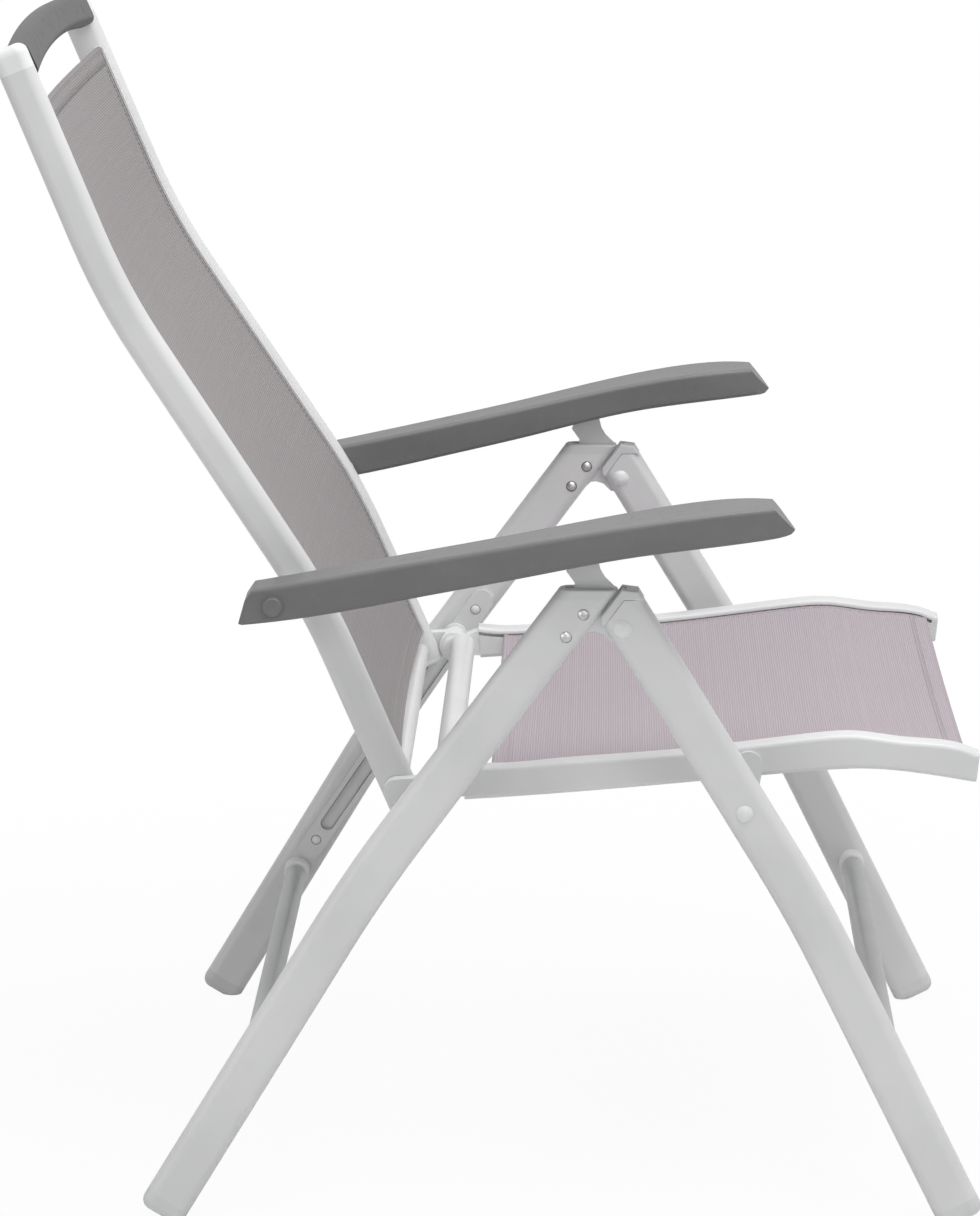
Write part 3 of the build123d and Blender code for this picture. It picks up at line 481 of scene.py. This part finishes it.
class Finish(Enum):
    """The finishes on the chair."""

    TUBE = PowderCoat("tube_paint")
    PLATE = PowderCoat("plate_paint", colour=(0.70, 0.705, 0.71), shade=(0.64, 0.645, 0.65),
                       gloss=0.42)
    DOME = PowderCoat("rivet_paint", colour=(0.76, 0.765, 0.77), shade=(0.70, 0.705, 0.71),
                      gloss=0.30, peel=900.0)
    BAR = PowderCoat("stretcher_paint", colour=(0.50, 0.515, 0.51), shade=(0.45, 0.465, 0.46),
                     gloss=0.34)
    ARM = Moulding("arm_plastic")
    HANDLE = Moulding("handle_plastic", colour=(0.040, 0.040, 0.041), light=(0.058, 0.058, 0.059),
                      dust=(0.12, 0.12, 0.12))
    PLUG = Moulding("plug_plastic", colour=(0.63, 0.635, 0.64), light=(0.70, 0.705, 0.71),
                    dust=(0.5, 0.49, 0.48), gloss=0.45)
    FOOT = Moulding("foot_plastic", colour=(0.60, 0.605, 0.61), light=(0.67, 0.675, 0.68),
                    dust=(0.45, 0.43, 0.41), gloss=0.5)
    FITTING = Moulding("fitting_plastic", colour=(0.74, 0.745, 0.75), light=(0.80, 0.805, 0.81),
                       dust=(0.6, 0.59, 0.58), gloss=0.40, grain=1000.0)
    RACK = Moulding("rack_plastic", colour=(0.05, 0.05, 0.052), light=(0.07, 0.07, 0.072),
                    dust=(0.12, 0.12, 0.12), gloss=0.5)
    # Painted shade: a dark colour for the beads that stand for the shadow under round heads and along slot
    # edges
    RIM_SHADE = Moulding("rivet_rim_shade", colour=(0.16, 0.16, 0.16), light=(0.20, 0.20, 0.20),
                   dust=(0.28, 0.28, 0.28), gloss=0.5)
    ZINC = Plated("zinc")
    BACK_CLOTH = WovenSling("back_weave")
    SEAT_CLOTH = WovenSling("seat_weave", colour=(0.420, 0.366, 0.402), dark_and_gap_shade=(0.270, 0.228, 0.255),
                            light=(0.530, 0.470, 0.508))
    BACK_THREAD = Thread("back_thread", colour=(0.33, 0.315, 0.315))
    SEAT_THREAD = Thread("seat_thread", colour=(0.52, 0.49, 0.51))


class Wardrobe:
    """Makes each finish once and puts it on pieces."""

    def __init__(self) -> None:
        """Start with nothing made."""
        self.made: dict[Finish, bpy.types.Material] = {}

    def get(self, finish: Finish) -> bpy.types.Material:
        """Hand out a finish's material, made on first use.

        Args:
            finish: The finish.

        Returns:
            Its material.
        """
        if finish not in self.made:
            self.made[finish] = finish.value.make()
        return self.made[finish]

    def dress(self, piece: bpy.types.Object, finish: Finish) -> None:
        """Put a finish on a whole piece.

        Args:
            piece: The mesh object.
            finish: The finish.
        """
        material = self.get(finish)
        if not piece.material_slots:
            piece.data.materials.append(material)
        for slot in piece.material_slots:
            slot.material = material


@dataclass
class Mesh:
    """Collects points and faces, and turns them into one piece."""

    points: list[Vector] = field(default_factory=list)
    faces: list[tuple[int, ...]] = field(default_factory=list)
    marks: list[Flat] = field(default_factory=list)

    def ring(self, centre: Vector, first: Vector, second: Vector, sides: int) -> list[int]:
        """Add a ring of points.

        Args:
            centre: The ring's middle.
            first: One radius.
            second: The radius square to it.
            sides: How many points.

        Returns:
            The points' numbers.
        """
        start = len(self.points)
        for i in range(sides):
            turn = 2 * math.pi * i / sides
            self.points.append(centre + first * math.cos(turn) + second * math.sin(turn))
        return list(range(start, start + sides))

    def bridge(self, one: Sequence[int], two: Sequence[int], closed: bool = True) -> None:
        """Join two rows of points with faces.

        Args:
            one: The first row.
            two: The second row, as long as the first.
            closed: Whether the rows close on themselves.
        """
        count = len(one)
        for i in range(count if closed else count - 1):
            j = (i + 1) % count
            self.faces.append((one[i], one[j], two[j], two[i]))

    def strand(self, line: Sequence[Vector], radius: float, sides: int) -> None:
        """Add a closed round strand along a line.

        Args:
            line: The points of the middle line.
            radius: The strand's radius.
            sides: How many sides.
        """
        rows = []
        for i, spot in enumerate(line):
            ahead = (line[min(i + 1, len(line) - 1)] - line[max(i - 1, 0)]).normalized()
            lengthwise = abs(ahead.y) < 0.9
            up = Vector((0, 1, 0)) if lengthwise else Vector((0, 0, 1))
            first = ahead.cross(up).normalized() * radius
            second = ahead.cross(first).normalized() * radius
            rows.append(self.ring(spot, first, second, sides))
        for one, two in zip(rows, rows[1:]):
            self.bridge(one, two)
        self.faces.append(tuple(reversed(rows[0])))
        self.faces.append(tuple(rows[-1]))

    def piece(self, name: str) -> bpy.types.Object:
        """Make the object, shaded smooth.

        Args:
            name: The piece's name.

        Returns:
            The new object.
        """
        mesh = bpy.data.meshes.new(name)
        mesh.from_pydata([tuple(p) for p in self.points], [], self.faces)
        if self.marks:
            layer = mesh.uv_layers.new(name="weave")
            for loop in mesh.loops:
                layer.data[loop.index].uv = self.marks[loop.vertex_index]
        for face in mesh.polygons:
            face.use_smooth = True
        work = bmesh.new()
        work.from_mesh(mesh)
        bmesh.ops.recalc_face_normals(work, faces=work.faces)
        work.to_mesh(mesh)
        work.free()
        piece = bpy.data.objects.new(name, mesh)
        bpy.context.scene.collection.objects.link(piece)
        log.info("%s made with %d faces", name, len(mesh.polygons))
        return piece


def smooth_line(table: Sequence[Flat], drop: float, steps: int) -> list[Vector]:
    """A natural cubic curve through a side view table, moved square to its length.

    Args:
        table: The (x, z) points.
        drop: How far the line moves to its right hand side.
        steps: How many even steps to return.

    Returns:
        steps + 1 points with y = 0.
    """
    spots = np.array(table, float)
    runs = np.r_[0.0, np.cumsum(np.hypot(*np.diff(spots, axis=0).T))]
    gaps = np.diff(runs)
    count = len(runs)
    matrix = np.eye(count)
    right = np.zeros((count, 2))
    for i in range(1, count - 1):
        matrix[i, i - 1:i + 2] = gaps[i - 1], 2 * (gaps[i - 1] + gaps[i]), gaps[i]
        slopes = np.diff(spots[i - 1:i + 2], axis=0) / gaps[i - 1:i + 1, None]
        right[i] = 6 * (slopes[1] - slopes[0])
    bend = np.linalg.solve(matrix, right)
    fine = []
    for want in np.linspace(0.0, runs[-1], CURVE_PARTS * steps + 1):
        k = min(int(np.searchsorted(runs, want, side="right")) - 1, count - 2)
        one, two, gap = runs[k + 1] - want, want - runs[k], gaps[k]
        fine.append((bend[k] * one ** 3 + bend[k + 1] * two ** 3) / (6 * gap)
                    + (spots[k] / gap - bend[k] * gap / 6) * one
                    + (spots[k + 1] / gap - bend[k + 1] * gap / 6) * two)
    return moved_line([Vector((x, 0.0, z)) for x, z in fine], drop, steps)


def bent_line(table: Sequence[Flat], radius: float, drop: float, steps: int) -> list[Vector]:
    """Straight runs joined by bends of one radius, moved square to their length.

    Args:
        table: The (x, z) corners.
        radius: The bends' radius.
        drop: How far the line moves to its right hand side.
        steps: How many even steps to return.

    Returns:
        steps + 1 points with y = 0.
    """
    corners = [Vector((x, 0.0, z)) for x, z in table]
    fine = [corners[0]]
    for before, corner, after in zip(corners, corners[1:], corners[2:]):
        back, ahead = (before - corner).normalized(), (after - corner).normalized()
        half = back.angle(ahead) / 2
        middle = corner + (back + ahead).normalized() * (radius / math.sin(half))
        reach = radius / math.tan(half)
        first, last = corner + back * reach - middle, corner + ahead * reach - middle
        fine += [middle + first.slerp(last, i / BEND_PARTS).normalized() * radius
                 for i in range(BEND_PARTS + 1)]
    fine.append(corners[-1])
    return moved_line(fine, drop, steps)


def moved_line(fine: Sequence[Vector], drop: float, steps: int) -> list[Vector]:
    """Move a fine line square to its length and spread points evenly along it.

    Args:
        fine: The line's points in the side view.
        drop: How far it moves to its right hand side.
        steps: How many even steps to return.

    Returns:
        steps + 1 points.
    """
    moved = []
    for i, spot in enumerate(fine):
        along = (fine[min(i + 1, len(fine) - 1)] - fine[max(i - 1, 0)]).normalized()
        moved.append(spot + Vector((along.z, 0.0, -along.x)) * drop)
    runs = [0.0]
    for one, two in zip(moved, moved[1:]):
        runs.append(runs[-1] + (two - one).length)
    out = []
    for want in np.linspace(0.0, runs[-1], steps + 1):
        k = min(int(np.searchsorted(runs, want, side="right")) - 1, len(moved) - 2)
        part = (want - runs[k]) / max(runs[k + 1] - runs[k], 1e-9)
        out.append(moved[k].lerp(moved[k + 1], min(part, 1.0)))
    return out


def kept(line: Sequence[Vector], axis: int, low: float, high: float, steps: int) -> list[Vector]:
    """The stretch of a line between two heights or reaches, spread evenly again.

    Args:
        line: The points.
        axis: The coordinate that is cut, 0 for x or 2 for z.
        low: The lowest value kept.
        high: The highest value kept.
        steps: How many even steps to return.

    Returns:
        steps + 1 points.
    """
    out = []
    for one, two in zip(line, line[1:]):
        for edge in (low, high):
            if (one[axis] - edge) * (two[axis] - edge) < 0:
                out.append(one.lerp(two, (edge - one[axis]) / (two[axis] - one[axis])))
        if low <= two[axis] <= high:
            out.append(two)
    return moved_line(out, 0.0, steps)


@dataclass
class Sling:
    """A stretched cloth between two tubes, with welded side pockets, end hems and seams."""

    node: str
    body: str
    cloth: Finish
    thread: Finish
    sag: float
    line: list[Vector]
    reach: Callable[[Vector], float]
    upright: bool = False
    thickness: float = 0.0014
    pocket: float = 0.015
    pocket_rise: float = 0.0004
    pocket_slope: float = 0.004
    hem: float = 0.017
    hem_rise: float = 0.0007
    hem_tip: float = 0.0006
    hem_throat: float = 0.0048
    hem_inset: float = 0.0052
    roll: float = 0.0023
    roll_run: float = 0.0013
    roll_wrap: float = 1.4
    stitch: float = 0.0034
    stitch_gap: float = 0.0014
    thread_radius: float = 0.00032
    thread_sides: int = 6
    hem_seam: float = 0.004
    hem_seam_end: float = 0.008
    seam_inset: float = 0.0118
    seam_end: float = 0.002
    end_hold: float = 0.35
    end_slope: float = 6.0
    across: int = 40
    hem_across: int = 48
    runs: list[float] = field(init=False)

    def __post_init__(self) -> None:
        """Measure where the runs along the middle line reach each row."""
        self.runs = [0.0]
        for one, two in zip(self.line, self.line[1:]):
            self.runs.append(self.runs[-1] + (two - one).length)

    def spot(self, run: float, part: float, rise: float = 0.0) -> Vector:
        """A point on the cloth.

        Args:
            run: The distance along the sling from its rear or lower end.
            part: The place across, from -1 on the right to 1 on the left.
            rise: The height over the cloth's middle surface.

        Returns:
            The point.
        """
        span = self.runs[-1] / (len(self.line) - 1)
        k = min(max(int(run / span), 0), len(self.line) - 2)
        share = run / span - k
        base = self.line[k].lerp(self.line[k + 1], share)
        along = self.line[k + 1] - self.line[k]
        normal = Vector((along.z, 0.0, -along.x)).normalized()
        if (self.upright and normal.x < 0) or (not self.upright and normal.z < 0):
            normal.negate()
        end = min(run, self.runs[-1] - run) / self.runs[-1]
        slack = 1.0 if self.upright else min(1.0, self.end_hold + max(end, 0.0) * self.end_slope)
        dip = self.sag * slack * (1.0 - part * part)
        return Vector((base.x, self.reach(base) * part, base.z)) + normal * (rise - dip)

    def columns(self) -> list[float]:
        """Spread the places across, with two more at each pocket's step.

        Returns:
            The places, from -1 on the right to 1 on the left.
        """
        side = self.reach(self.line[len(self.line) // 2])
        step = 1.0 - self.pocket / side
        extra = [step, step - self.pocket_slope]
        clear = 1.5 * self.pocket_slope
        places = [2.0 * k / self.across - 1.0 for k in range(self.across + 1)]
        places = [p for p in places if all(abs(abs(p) - e) > clear for e in extra)]
        return sorted(places + extra + [-e for e in extra])

    def sheet(self) -> bpy.types.Object:
        """Make the cloth with its thicker side pockets.

        Returns:
            The cloth.
        """
        places, rows = self.columns(), len(self.line)
        pocket_start = 1.0 - self.pocket / self.reach(self.line[0]) - self.pocket_slope / 2
        inner = max(p for p in places if p < pocket_start)
        cloth = Mesh()
        for side in (1, -1):
            for run in self.runs:
                for part in places:
                    folded = abs(part) > inner + 1e-6
                    rise = self.thickness / 2 + (self.pocket_rise if folded else 0.0)
                    spot = self.spot(run, part, side * rise)
                    cloth.points.append(spot)
                    cloth.marks.append((spot.y, run))
        row = len(places)
        half = rows * row
        for base in (0, half):
            for i in range(rows - 1):
                one = [base + i * row + k for k in range(row)]
                cloth.bridge(one, [k + row for k in one], closed=False)
        # The rim runs once round the sheet's four edges
        rim = list(range(row))
        rim += [i * row + row - 1 for i in range(1, rows)]
        rim += [(rows - 1) * row + k for k in range(row - 2, -1, -1)]
        rim += [i * row for i in range(rows - 2, 0, -1)]
        cloth.bridge(rim, [k + half for k in rim])
        return cloth.piece(f"{self.node}_cloth")

    def end_hem(self, top: bool) -> bpy.types.Object:
        """Roll the cloth's end over and back.

        Args:
            top: Whether it is the front or upper end.

        Returns:
            The hem.
        """
        # Depths from the end and rises over the cloth: the upper skin, the roll, the lower skin
        flat = self.thickness / 2 + self.hem_rise
        skin = [(self.hem - self.hem_tip, flat), (self.hem * 0.5, flat), (self.hem_throat, flat)]
        profile = [(self.hem, 0.0002), *skin]
        profile += [(self.roll_run + self.roll * math.cos(a), self.roll * math.sin(a))
                    for a in (math.radians(60 + 30 * k) for k in range(9))]
        profile += [(depth, -rise) for depth, rise in reversed(skin)]
        side = self.reach(self.line[-1] if top else self.line[0])
        reach = 1.0 - self.hem_inset / side
        roll, rows = Mesh(), []
        for k in range(self.hem_across + 1):
            part = reach * (2 * k / self.hem_across - 1.0)
            row = []
            for depth, rise in profile:
                run = self.runs[-1] - depth if top else depth
                spot = self.spot(run, part, rise)
                row.append(len(roll.points))
                roll.points.append(spot)
                roll.marks.append((spot.y, run + self.roll_wrap * rise))
            rows.append(row)
        for one, two in zip(rows, rows[1:]):
            roll.bridge(one, two)
        roll.faces += [tuple(reversed(rows[0])), tuple(rows[-1])]
        return roll.piece(f"{self.node}_{'front' if top else 'rear'}_hem")

    def seam(self, stitches: Mesh, start: Flat, stop: Flat, rise: float) -> None:
        """Sew a row of stitches on both faces.

        Args:
            stitches: The mesh that collects them.
            start: The run and the place across where the seam starts, in metres.
            stop: Where it ends.
            rise: The cloth's half thickness there.
        """
        length = math.hypot(stop[0] - start[0], stop[1] - start[1])
        pitch = self.stitch + self.stitch_gap
        count = int(length / pitch)
        last = len(self.line) - 1
        for face in (1, -1):
            for k in range(count):
                line = []
                for step, lift in STITCH_SHAPE:
                    go = (k * pitch + step * self.stitch) / length
                    run = start[0] + (stop[0] - start[0]) * go
                    out = start[1] + (stop[1] - start[1]) * go
                    side = self.reach(self.line[min(int(run / self.runs[-1] * last), last)])
                    line.append(self.spot(run, out / side, face * (rise + lift)))
                stitches.strand(line, self.thread_radius, self.thread_sides)

    def stitches(self) -> bpy.types.Object:
        """Sew the end hems down and the side pockets shut.

        Returns:
            All the stitches as one piece.
        """
        sewn = Mesh()
        end, skin = self.runs[-1], self.thickness / 2
        for run in (self.hem - self.hem_seam, end - self.hem + self.hem_seam):
            side = self.reach(self.spot(run, 0.0)) - self.hem_seam_end
            self.seam(sewn, (run, -side), (run, side), skin + self.hem_rise)
        first, last = self.reach(self.line[0]), self.reach(self.line[-1])
        for way in (1, -1):
            self.seam(sewn, (self.hem + self.seam_end, way * (first - self.seam_inset)),
                      (end - self.hem - self.seam_end, way * (last - self.seam_inset)),
                      skin + self.pocket_rise)
        return sewn.piece(f"{self.node}_stitches")

    def build(self, wardrobe: Wardrobe) -> bpy.types.Object:
        """Make the cloth, its hems and its seams.

        Args:
            wardrobe: The finishes.

        Returns:
            The cloth.
        """
        cloth = self.sheet()
        hems = [self.end_hem(False), self.end_hem(True)]
        seams = self.stitches()
        for piece in (cloth, *hems):
            wardrobe.dress(piece, self.cloth)
        wardrobe.dress(seams, self.thread)
        for piece in (cloth, *hems, seams):
            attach(piece, self.body)
        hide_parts(self.node)
        reaches = [self.reach(spot) for spot in self.line]
        span = self.runs[-1] / (len(self.line) - 1)
        area = sum(one + two for one, two in zip(reaches, reaches[1:])) * span
        flat = (2 * max(reaches), self.runs[-1])
        not self.upright
        min(area, flat[0] * flat[1])
        log.info("%s: flat %.3f x %.3f m, area %.4f m2", cloth.name, *flat, area)
        return cloth


def seat_reach(spot: Vector) -> float:
    """Half the seat sling's width, the same all along."""
    return 0.2479


def back_reach(spot: Vector) -> float:
    """Half the backrest sling's width, less towards the top."""
    return 0.2363 - (spot.z - BACK_FOOT_Z) * 0.03620


def make_slings() -> list[Sling]:
    """The seat's and the backrest's sling, on the curves of the rails and of the tubes.

    Returns:
        The slings, ready to build.
    """
    rails = smooth_line(RAIL_TOP, drop=0.0064, steps=300)
    tubes = bent_line(BACK_TUBE, radius=0.560, drop=0.0075, steps=400)
    return [
        Sling("seat_sling", "seat", Finish.SEAT_CLOTH, Finish.SEAT_THREAD, sag=0.006, reach=seat_reach,
              line=kept(rails, axis=0, low=SHIFT - 0.060, high=SHIFT + 0.338, steps=72)),
        Sling("backrest_sling", "backrest", Finish.BACK_CLOTH, Finish.BACK_THREAD, sag=0.005,
              reach=back_reach, line=kept(tubes, axis=2, low=BACK_FOOT_Z, high=0.937, steps=90),
              upright=True)]


@dataclass
class ShadeRims:
    """Dark beads of painted shade under round heads and along slots, on both sides of the chair."""

    name: str
    body: str
    runs: tuple[tuple[Flat, Flat], ...]
    faces: tuple[Callable[[float], float], ...]
    radius: float
    bead: float = 0.0005
    bead_height: float = 0.7
    bead_sides: int = 8
    count: int = 28

    def loop(self, rims: Mesh, first: Flat, last: Flat, side: int,
             face: Callable[[float], float]) -> None:
        """Lay one bead of painted shade round a spot, or round a slot between two spots.

        Args:
            rims: The mesh that collects the beads.
            first: The slot's first end in the side view.
            last: Its other end, or the same spot.
            side: 1 on the left or -1 on the right.
            face: How far out the surface under the bead is, at a place along the chair.
        """
        lean = math.atan2(last[1] - first[1], last[0] - first[0])
        flat = Vector((0.0, self.bead * self.bead_height, 0.0))
        rows = []
        for i in range(self.count):
            turn = lean + 2 * math.pi * (i + 0.5) / self.count
            out = Vector((math.cos(turn), 0.0, math.sin(turn)))
            x, z = last if math.cos(turn - lean) > 0 else first
            x, z = x + out.x * self.radius, z + out.z * self.radius
            centre = Vector((SHIFT + x, side * face(x), z))
            rows.append(rims.ring(centre, out * self.bead, flat, self.bead_sides))
        for one, two in zip(rows, rows[1:] + rows[:1]):
            rims.bridge(one, two)

    def build(self, wardrobe: Wardrobe) -> bpy.types.Object:
        """Make every bead of painted shade as one piece.

        Args:
            wardrobe: The finishes.

        Returns:
            The rims.
        """
        rims = Mesh()
        for first, last in self.runs:
            for side in (1, -1):
                for face in self.faces:
                    self.loop(rims, first, last, side, face)
        piece = rims.piece(self.name)
        # The beads get the dark finish that paints the shadow under heads and along slots
        wardrobe.dress(piece, Finish.RIM_SHADE)
        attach(piece, self.body)
        log.info("%s: %d runs a side", self.name, len(self.runs))
        return piece


def leg_inside(x: float) -> float:
    """How far out the rear legs' inner faces are."""
    return 0.2997


def leg_outside(x: float) -> float:
    """How far out the rear legs' outer faces are."""
    return 0.3217


def channel_face(x: float) -> float:
    """How far out the slot channels' inner faces are."""
    return 0.2960


def arm_side(x: float) -> float:
    """How far out an armrest's rear outer side is, at a place along the chair."""
    return 0.3140 + (x + 0.2090) * 0.1019


def make_shade_rims() -> list[ShadeRims]:
    """Every group of painted shade beads on the chair.

    Returns:
        The rims, ready to build.
    """
    upper, lower = (0.0170, 0.5297), (0.0026, 0.5106)
    channel_top, channel_foot = (-0.0891, 0.3903), (-0.2441, 0.1601)
    slot = ((-0.1056, 0.3658), (-0.2329, 0.1767))
    return [
        ShadeRims("bracket_rivet_shade_rims", "rear_frame", ((upper, upper), (lower, lower)),
             (leg_inside, leg_outside), radius=0.0046),
        ShadeRims("channel_rivet_shade_rims", "rear_frame",
             ((channel_top, channel_top), (channel_foot, channel_foot)), (channel_face,),
             radius=0.0045, bead=0.0004),
        ShadeRims("slot_shade_rims", "rear_frame", (slot,), (channel_face,), radius=0.0063, bead=0.0004),
        ShadeRims("arm_cap_shade_rims", "arm_pins", ((ARM_PIVOT, ARM_PIVOT),), (arm_side,), radius=0.0083,
             bead=0.0006)]


@dataclass(frozen=True)
class SoftBox:
    """A square lamp: its place, what it faces, its side in metres and its power in watts."""

    name: str
    spot: Point
    aim: Point
    size: float
    power: float

    def hang(self) -> None:
        """Add the lamp to the scene."""
        data = bpy.data.lights.new(self.name, "AREA")
        data.shape = "SQUARE"
        data.size = self.size
        data.energy = self.power
        lamp = bpy.data.objects.new(self.name, data)
        bpy.context.scene.collection.objects.link(lamp)
        lamp.location = self.spot
        lamp.rotation_mode = "QUATERNION"
        lamp.rotation_quaternion = (Vector(self.aim) - Vector(self.spot)).to_track_quat("-Z", "Y")


@dataclass
class Studio:
    """The camera at the photograph's angle, soft light, the floor and a white backdrop."""

    spot: Point = (0.0329, -4.0628, 1.4017)
    pan: float = -1.42
    tilt: float = 13.04
    roll: float = -0.04
    focal_pixels: float = 4668.4
    frame_pixels: int = 1216
    sensor: float = 36
    far: float = 60.0
    fill: float = 0.34
    floor_half: float = 7.0
    floor_z: float = -0.0006
    boxes: tuple[SoftBox, ...] = (
        SoftBox("top_box", (0.5, -0.5, 3.0), (0.0, 0.0, 0.4), size=2.4, power=74.0),
        SoftBox("front_box", (2.2, -2.8, 1.5), (0.0, 0.0, 0.5), size=1.8, power=12.0),
        SoftBox("rear_box", (-2.6, -1.8, 1.0), (0.0, 0.0, 0.4), size=1.6, power=13.0))

    def camera(self) -> None:
        """Place the camera."""
        data = bpy.data.cameras.new("studio_camera")
        data.lens = self.focal_pixels * self.sensor / self.frame_pixels
        data.clip_end = self.far
        camera = bpy.data.objects.new("studio_camera", data)
        bpy.context.scene.collection.objects.link(camera)
        pan, tilt = math.radians(self.pan), math.radians(self.tilt)
        level = math.cos(tilt)
        ahead = Vector((math.sin(pan) * level, math.cos(pan) * level, -math.sin(tilt)))
        turn = ahead.to_track_quat("-Z", "Y").to_matrix().to_4x4()
        roll = Matrix.Rotation(math.radians(self.roll), 4, "Z")
        place = Matrix.Translation(Vector(self.spot) + Vector((SHIFT, 0, 0)))
        camera.matrix_world = place @ turn @ roll
        bpy.context.scene.camera = camera

    def world(self) -> None:
        """Show white to the camera and in gloss, and a plain grey light to the chair."""
        world = bpy.data.worlds.new("studio_world")
        bpy.context.scene.world = world
        g = Graph(world, "Background")
        seen = g.add("ShaderNodeLightPath", output="Is Camera Ray")
        through, mirrored = (Socket(g, seen.link.node.outputs[f"Is {ray} Ray"])
                             for ray in ("Transmission", "Glossy"))
        clear = seen.larger(through).larger(mirrored)
        g.finish(Color=(1.0, 1.0, 1.0), Strength=clear * (1.0 - self.fill) + self.fill)

    def ground(self) -> None:
        """Lay the floor."""
        mesh = bpy.data.meshes.new("studio_floor")
        work = bmesh.new()
        bmesh.ops.create_grid(work, x_segments=2, y_segments=2, size=self.floor_half)
        work.to_mesh(mesh)
        work.free()
        floor = bpy.data.objects.new("studio_floor", mesh)
        bpy.context.scene.collection.objects.link(floor)
        floor.location = (SHIFT, 0.0, self.floor_z)
        mesh.materials.append(StudioFloor("studio_ground").make())

    def build(self) -> None:
        """Set up the whole studio."""
        bpy.context.scene.view_settings.view_transform = "Standard"
        self.camera()
        self.world()
        for box in self.boxes:
            box.hang()
        self.ground()
        log.info("studio with %d lamps", len(self.boxes))


@dataclass
class Frame:
    """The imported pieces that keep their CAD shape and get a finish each."""

    finishes: dict[Finish, tuple[str, ...]] = field(default_factory=lambda: {
        Finish.TUBE: ("rear_leg_left", "rear_leg_right", "front_leg_left", "front_leg_right",
                      "backrest_tube_left", "backrest_tube_right", "backrest_strip_left",
                      "backrest_strip_right", "backrest_cross_tube", "seat_rail_left",
                      "seat_rail_right", "seat_cross_tube", "seat_front_bar", "slot_channel_left",
                      "slot_channel_right"),
        Finish.BAR: ("rear_stretcher", "front_stretcher"),
        Finish.PLATE: ("arm_bracket_left", "arm_bracket_right", "seat_lugs"),
        Finish.DOME: ("apex_rivets", "seat_pivot_rivets", "channel_rivets", "hinge_bolts"),
        Finish.ARM: ("armrest_left", "armrest_right", "arm_pin_left", "arm_pin_right",
                     "arm_bushes"),
        Finish.HANDLE: ("carry_handle",),
        Finish.RACK: ("arm_rack_left", "arm_rack_right"),
        Finish.PLUG: ("rear_leg_plug_left", "rear_leg_plug_right", "front_leg_plug_left",
                      "front_leg_plug_right", "seat_rail_cap_left", "seat_rail_cap_right"),
        Finish.FOOT: ("rear_foot_left", "rear_foot_right", "front_foot_left", "front_foot_right"),
        Finish.FITTING: ("rear_stretcher_sockets", "front_stretcher_sockets", "seat_rear_socket_left",
                         "seat_rear_socket_right", "seat_pivot_spacers", "slider_left",
                         "slider_right", "hinge_bracket_left", "hinge_bracket_right",
                         "arm_lug_left", "arm_lug_right", "backrest_top_caps",
                         "backrest_foot_caps"),
        Finish.ZINC: ("rack_pins", "bracket_rivets", "seat_axles"),
    })

    def build(self, nodes: dict[str, bpy.types.Object], wardrobe: Wardrobe) -> None:
        """Dress every kept piece.

        Args:
            nodes: The CAD objects.
            wardrobe: The finishes.
        """
        for finish, names in self.finishes.items():
            for name in names:
                wardrobe.dress(nodes[name], finish)
                faces = nodes[name].data.polygons
                faces.foreach_set("use_smooth", [True] * len(faces))
            log.info("%s on %s", finish.name.lower(), ", ".join(names))


def main() -> None:
    """Build the chair's looks in order."""
    logging.basicConfig(level=logging.INFO, format="%(message)s")
    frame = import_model()
    nodes = frame["nodes"]
    wardrobe = Wardrobe()
    Studio().build()
    Frame().build(nodes, wardrobe)
    for group in (*make_slings(), *make_shade_rims()):
        group.build(wardrobe)


if __name__ == "__main__":
    main()
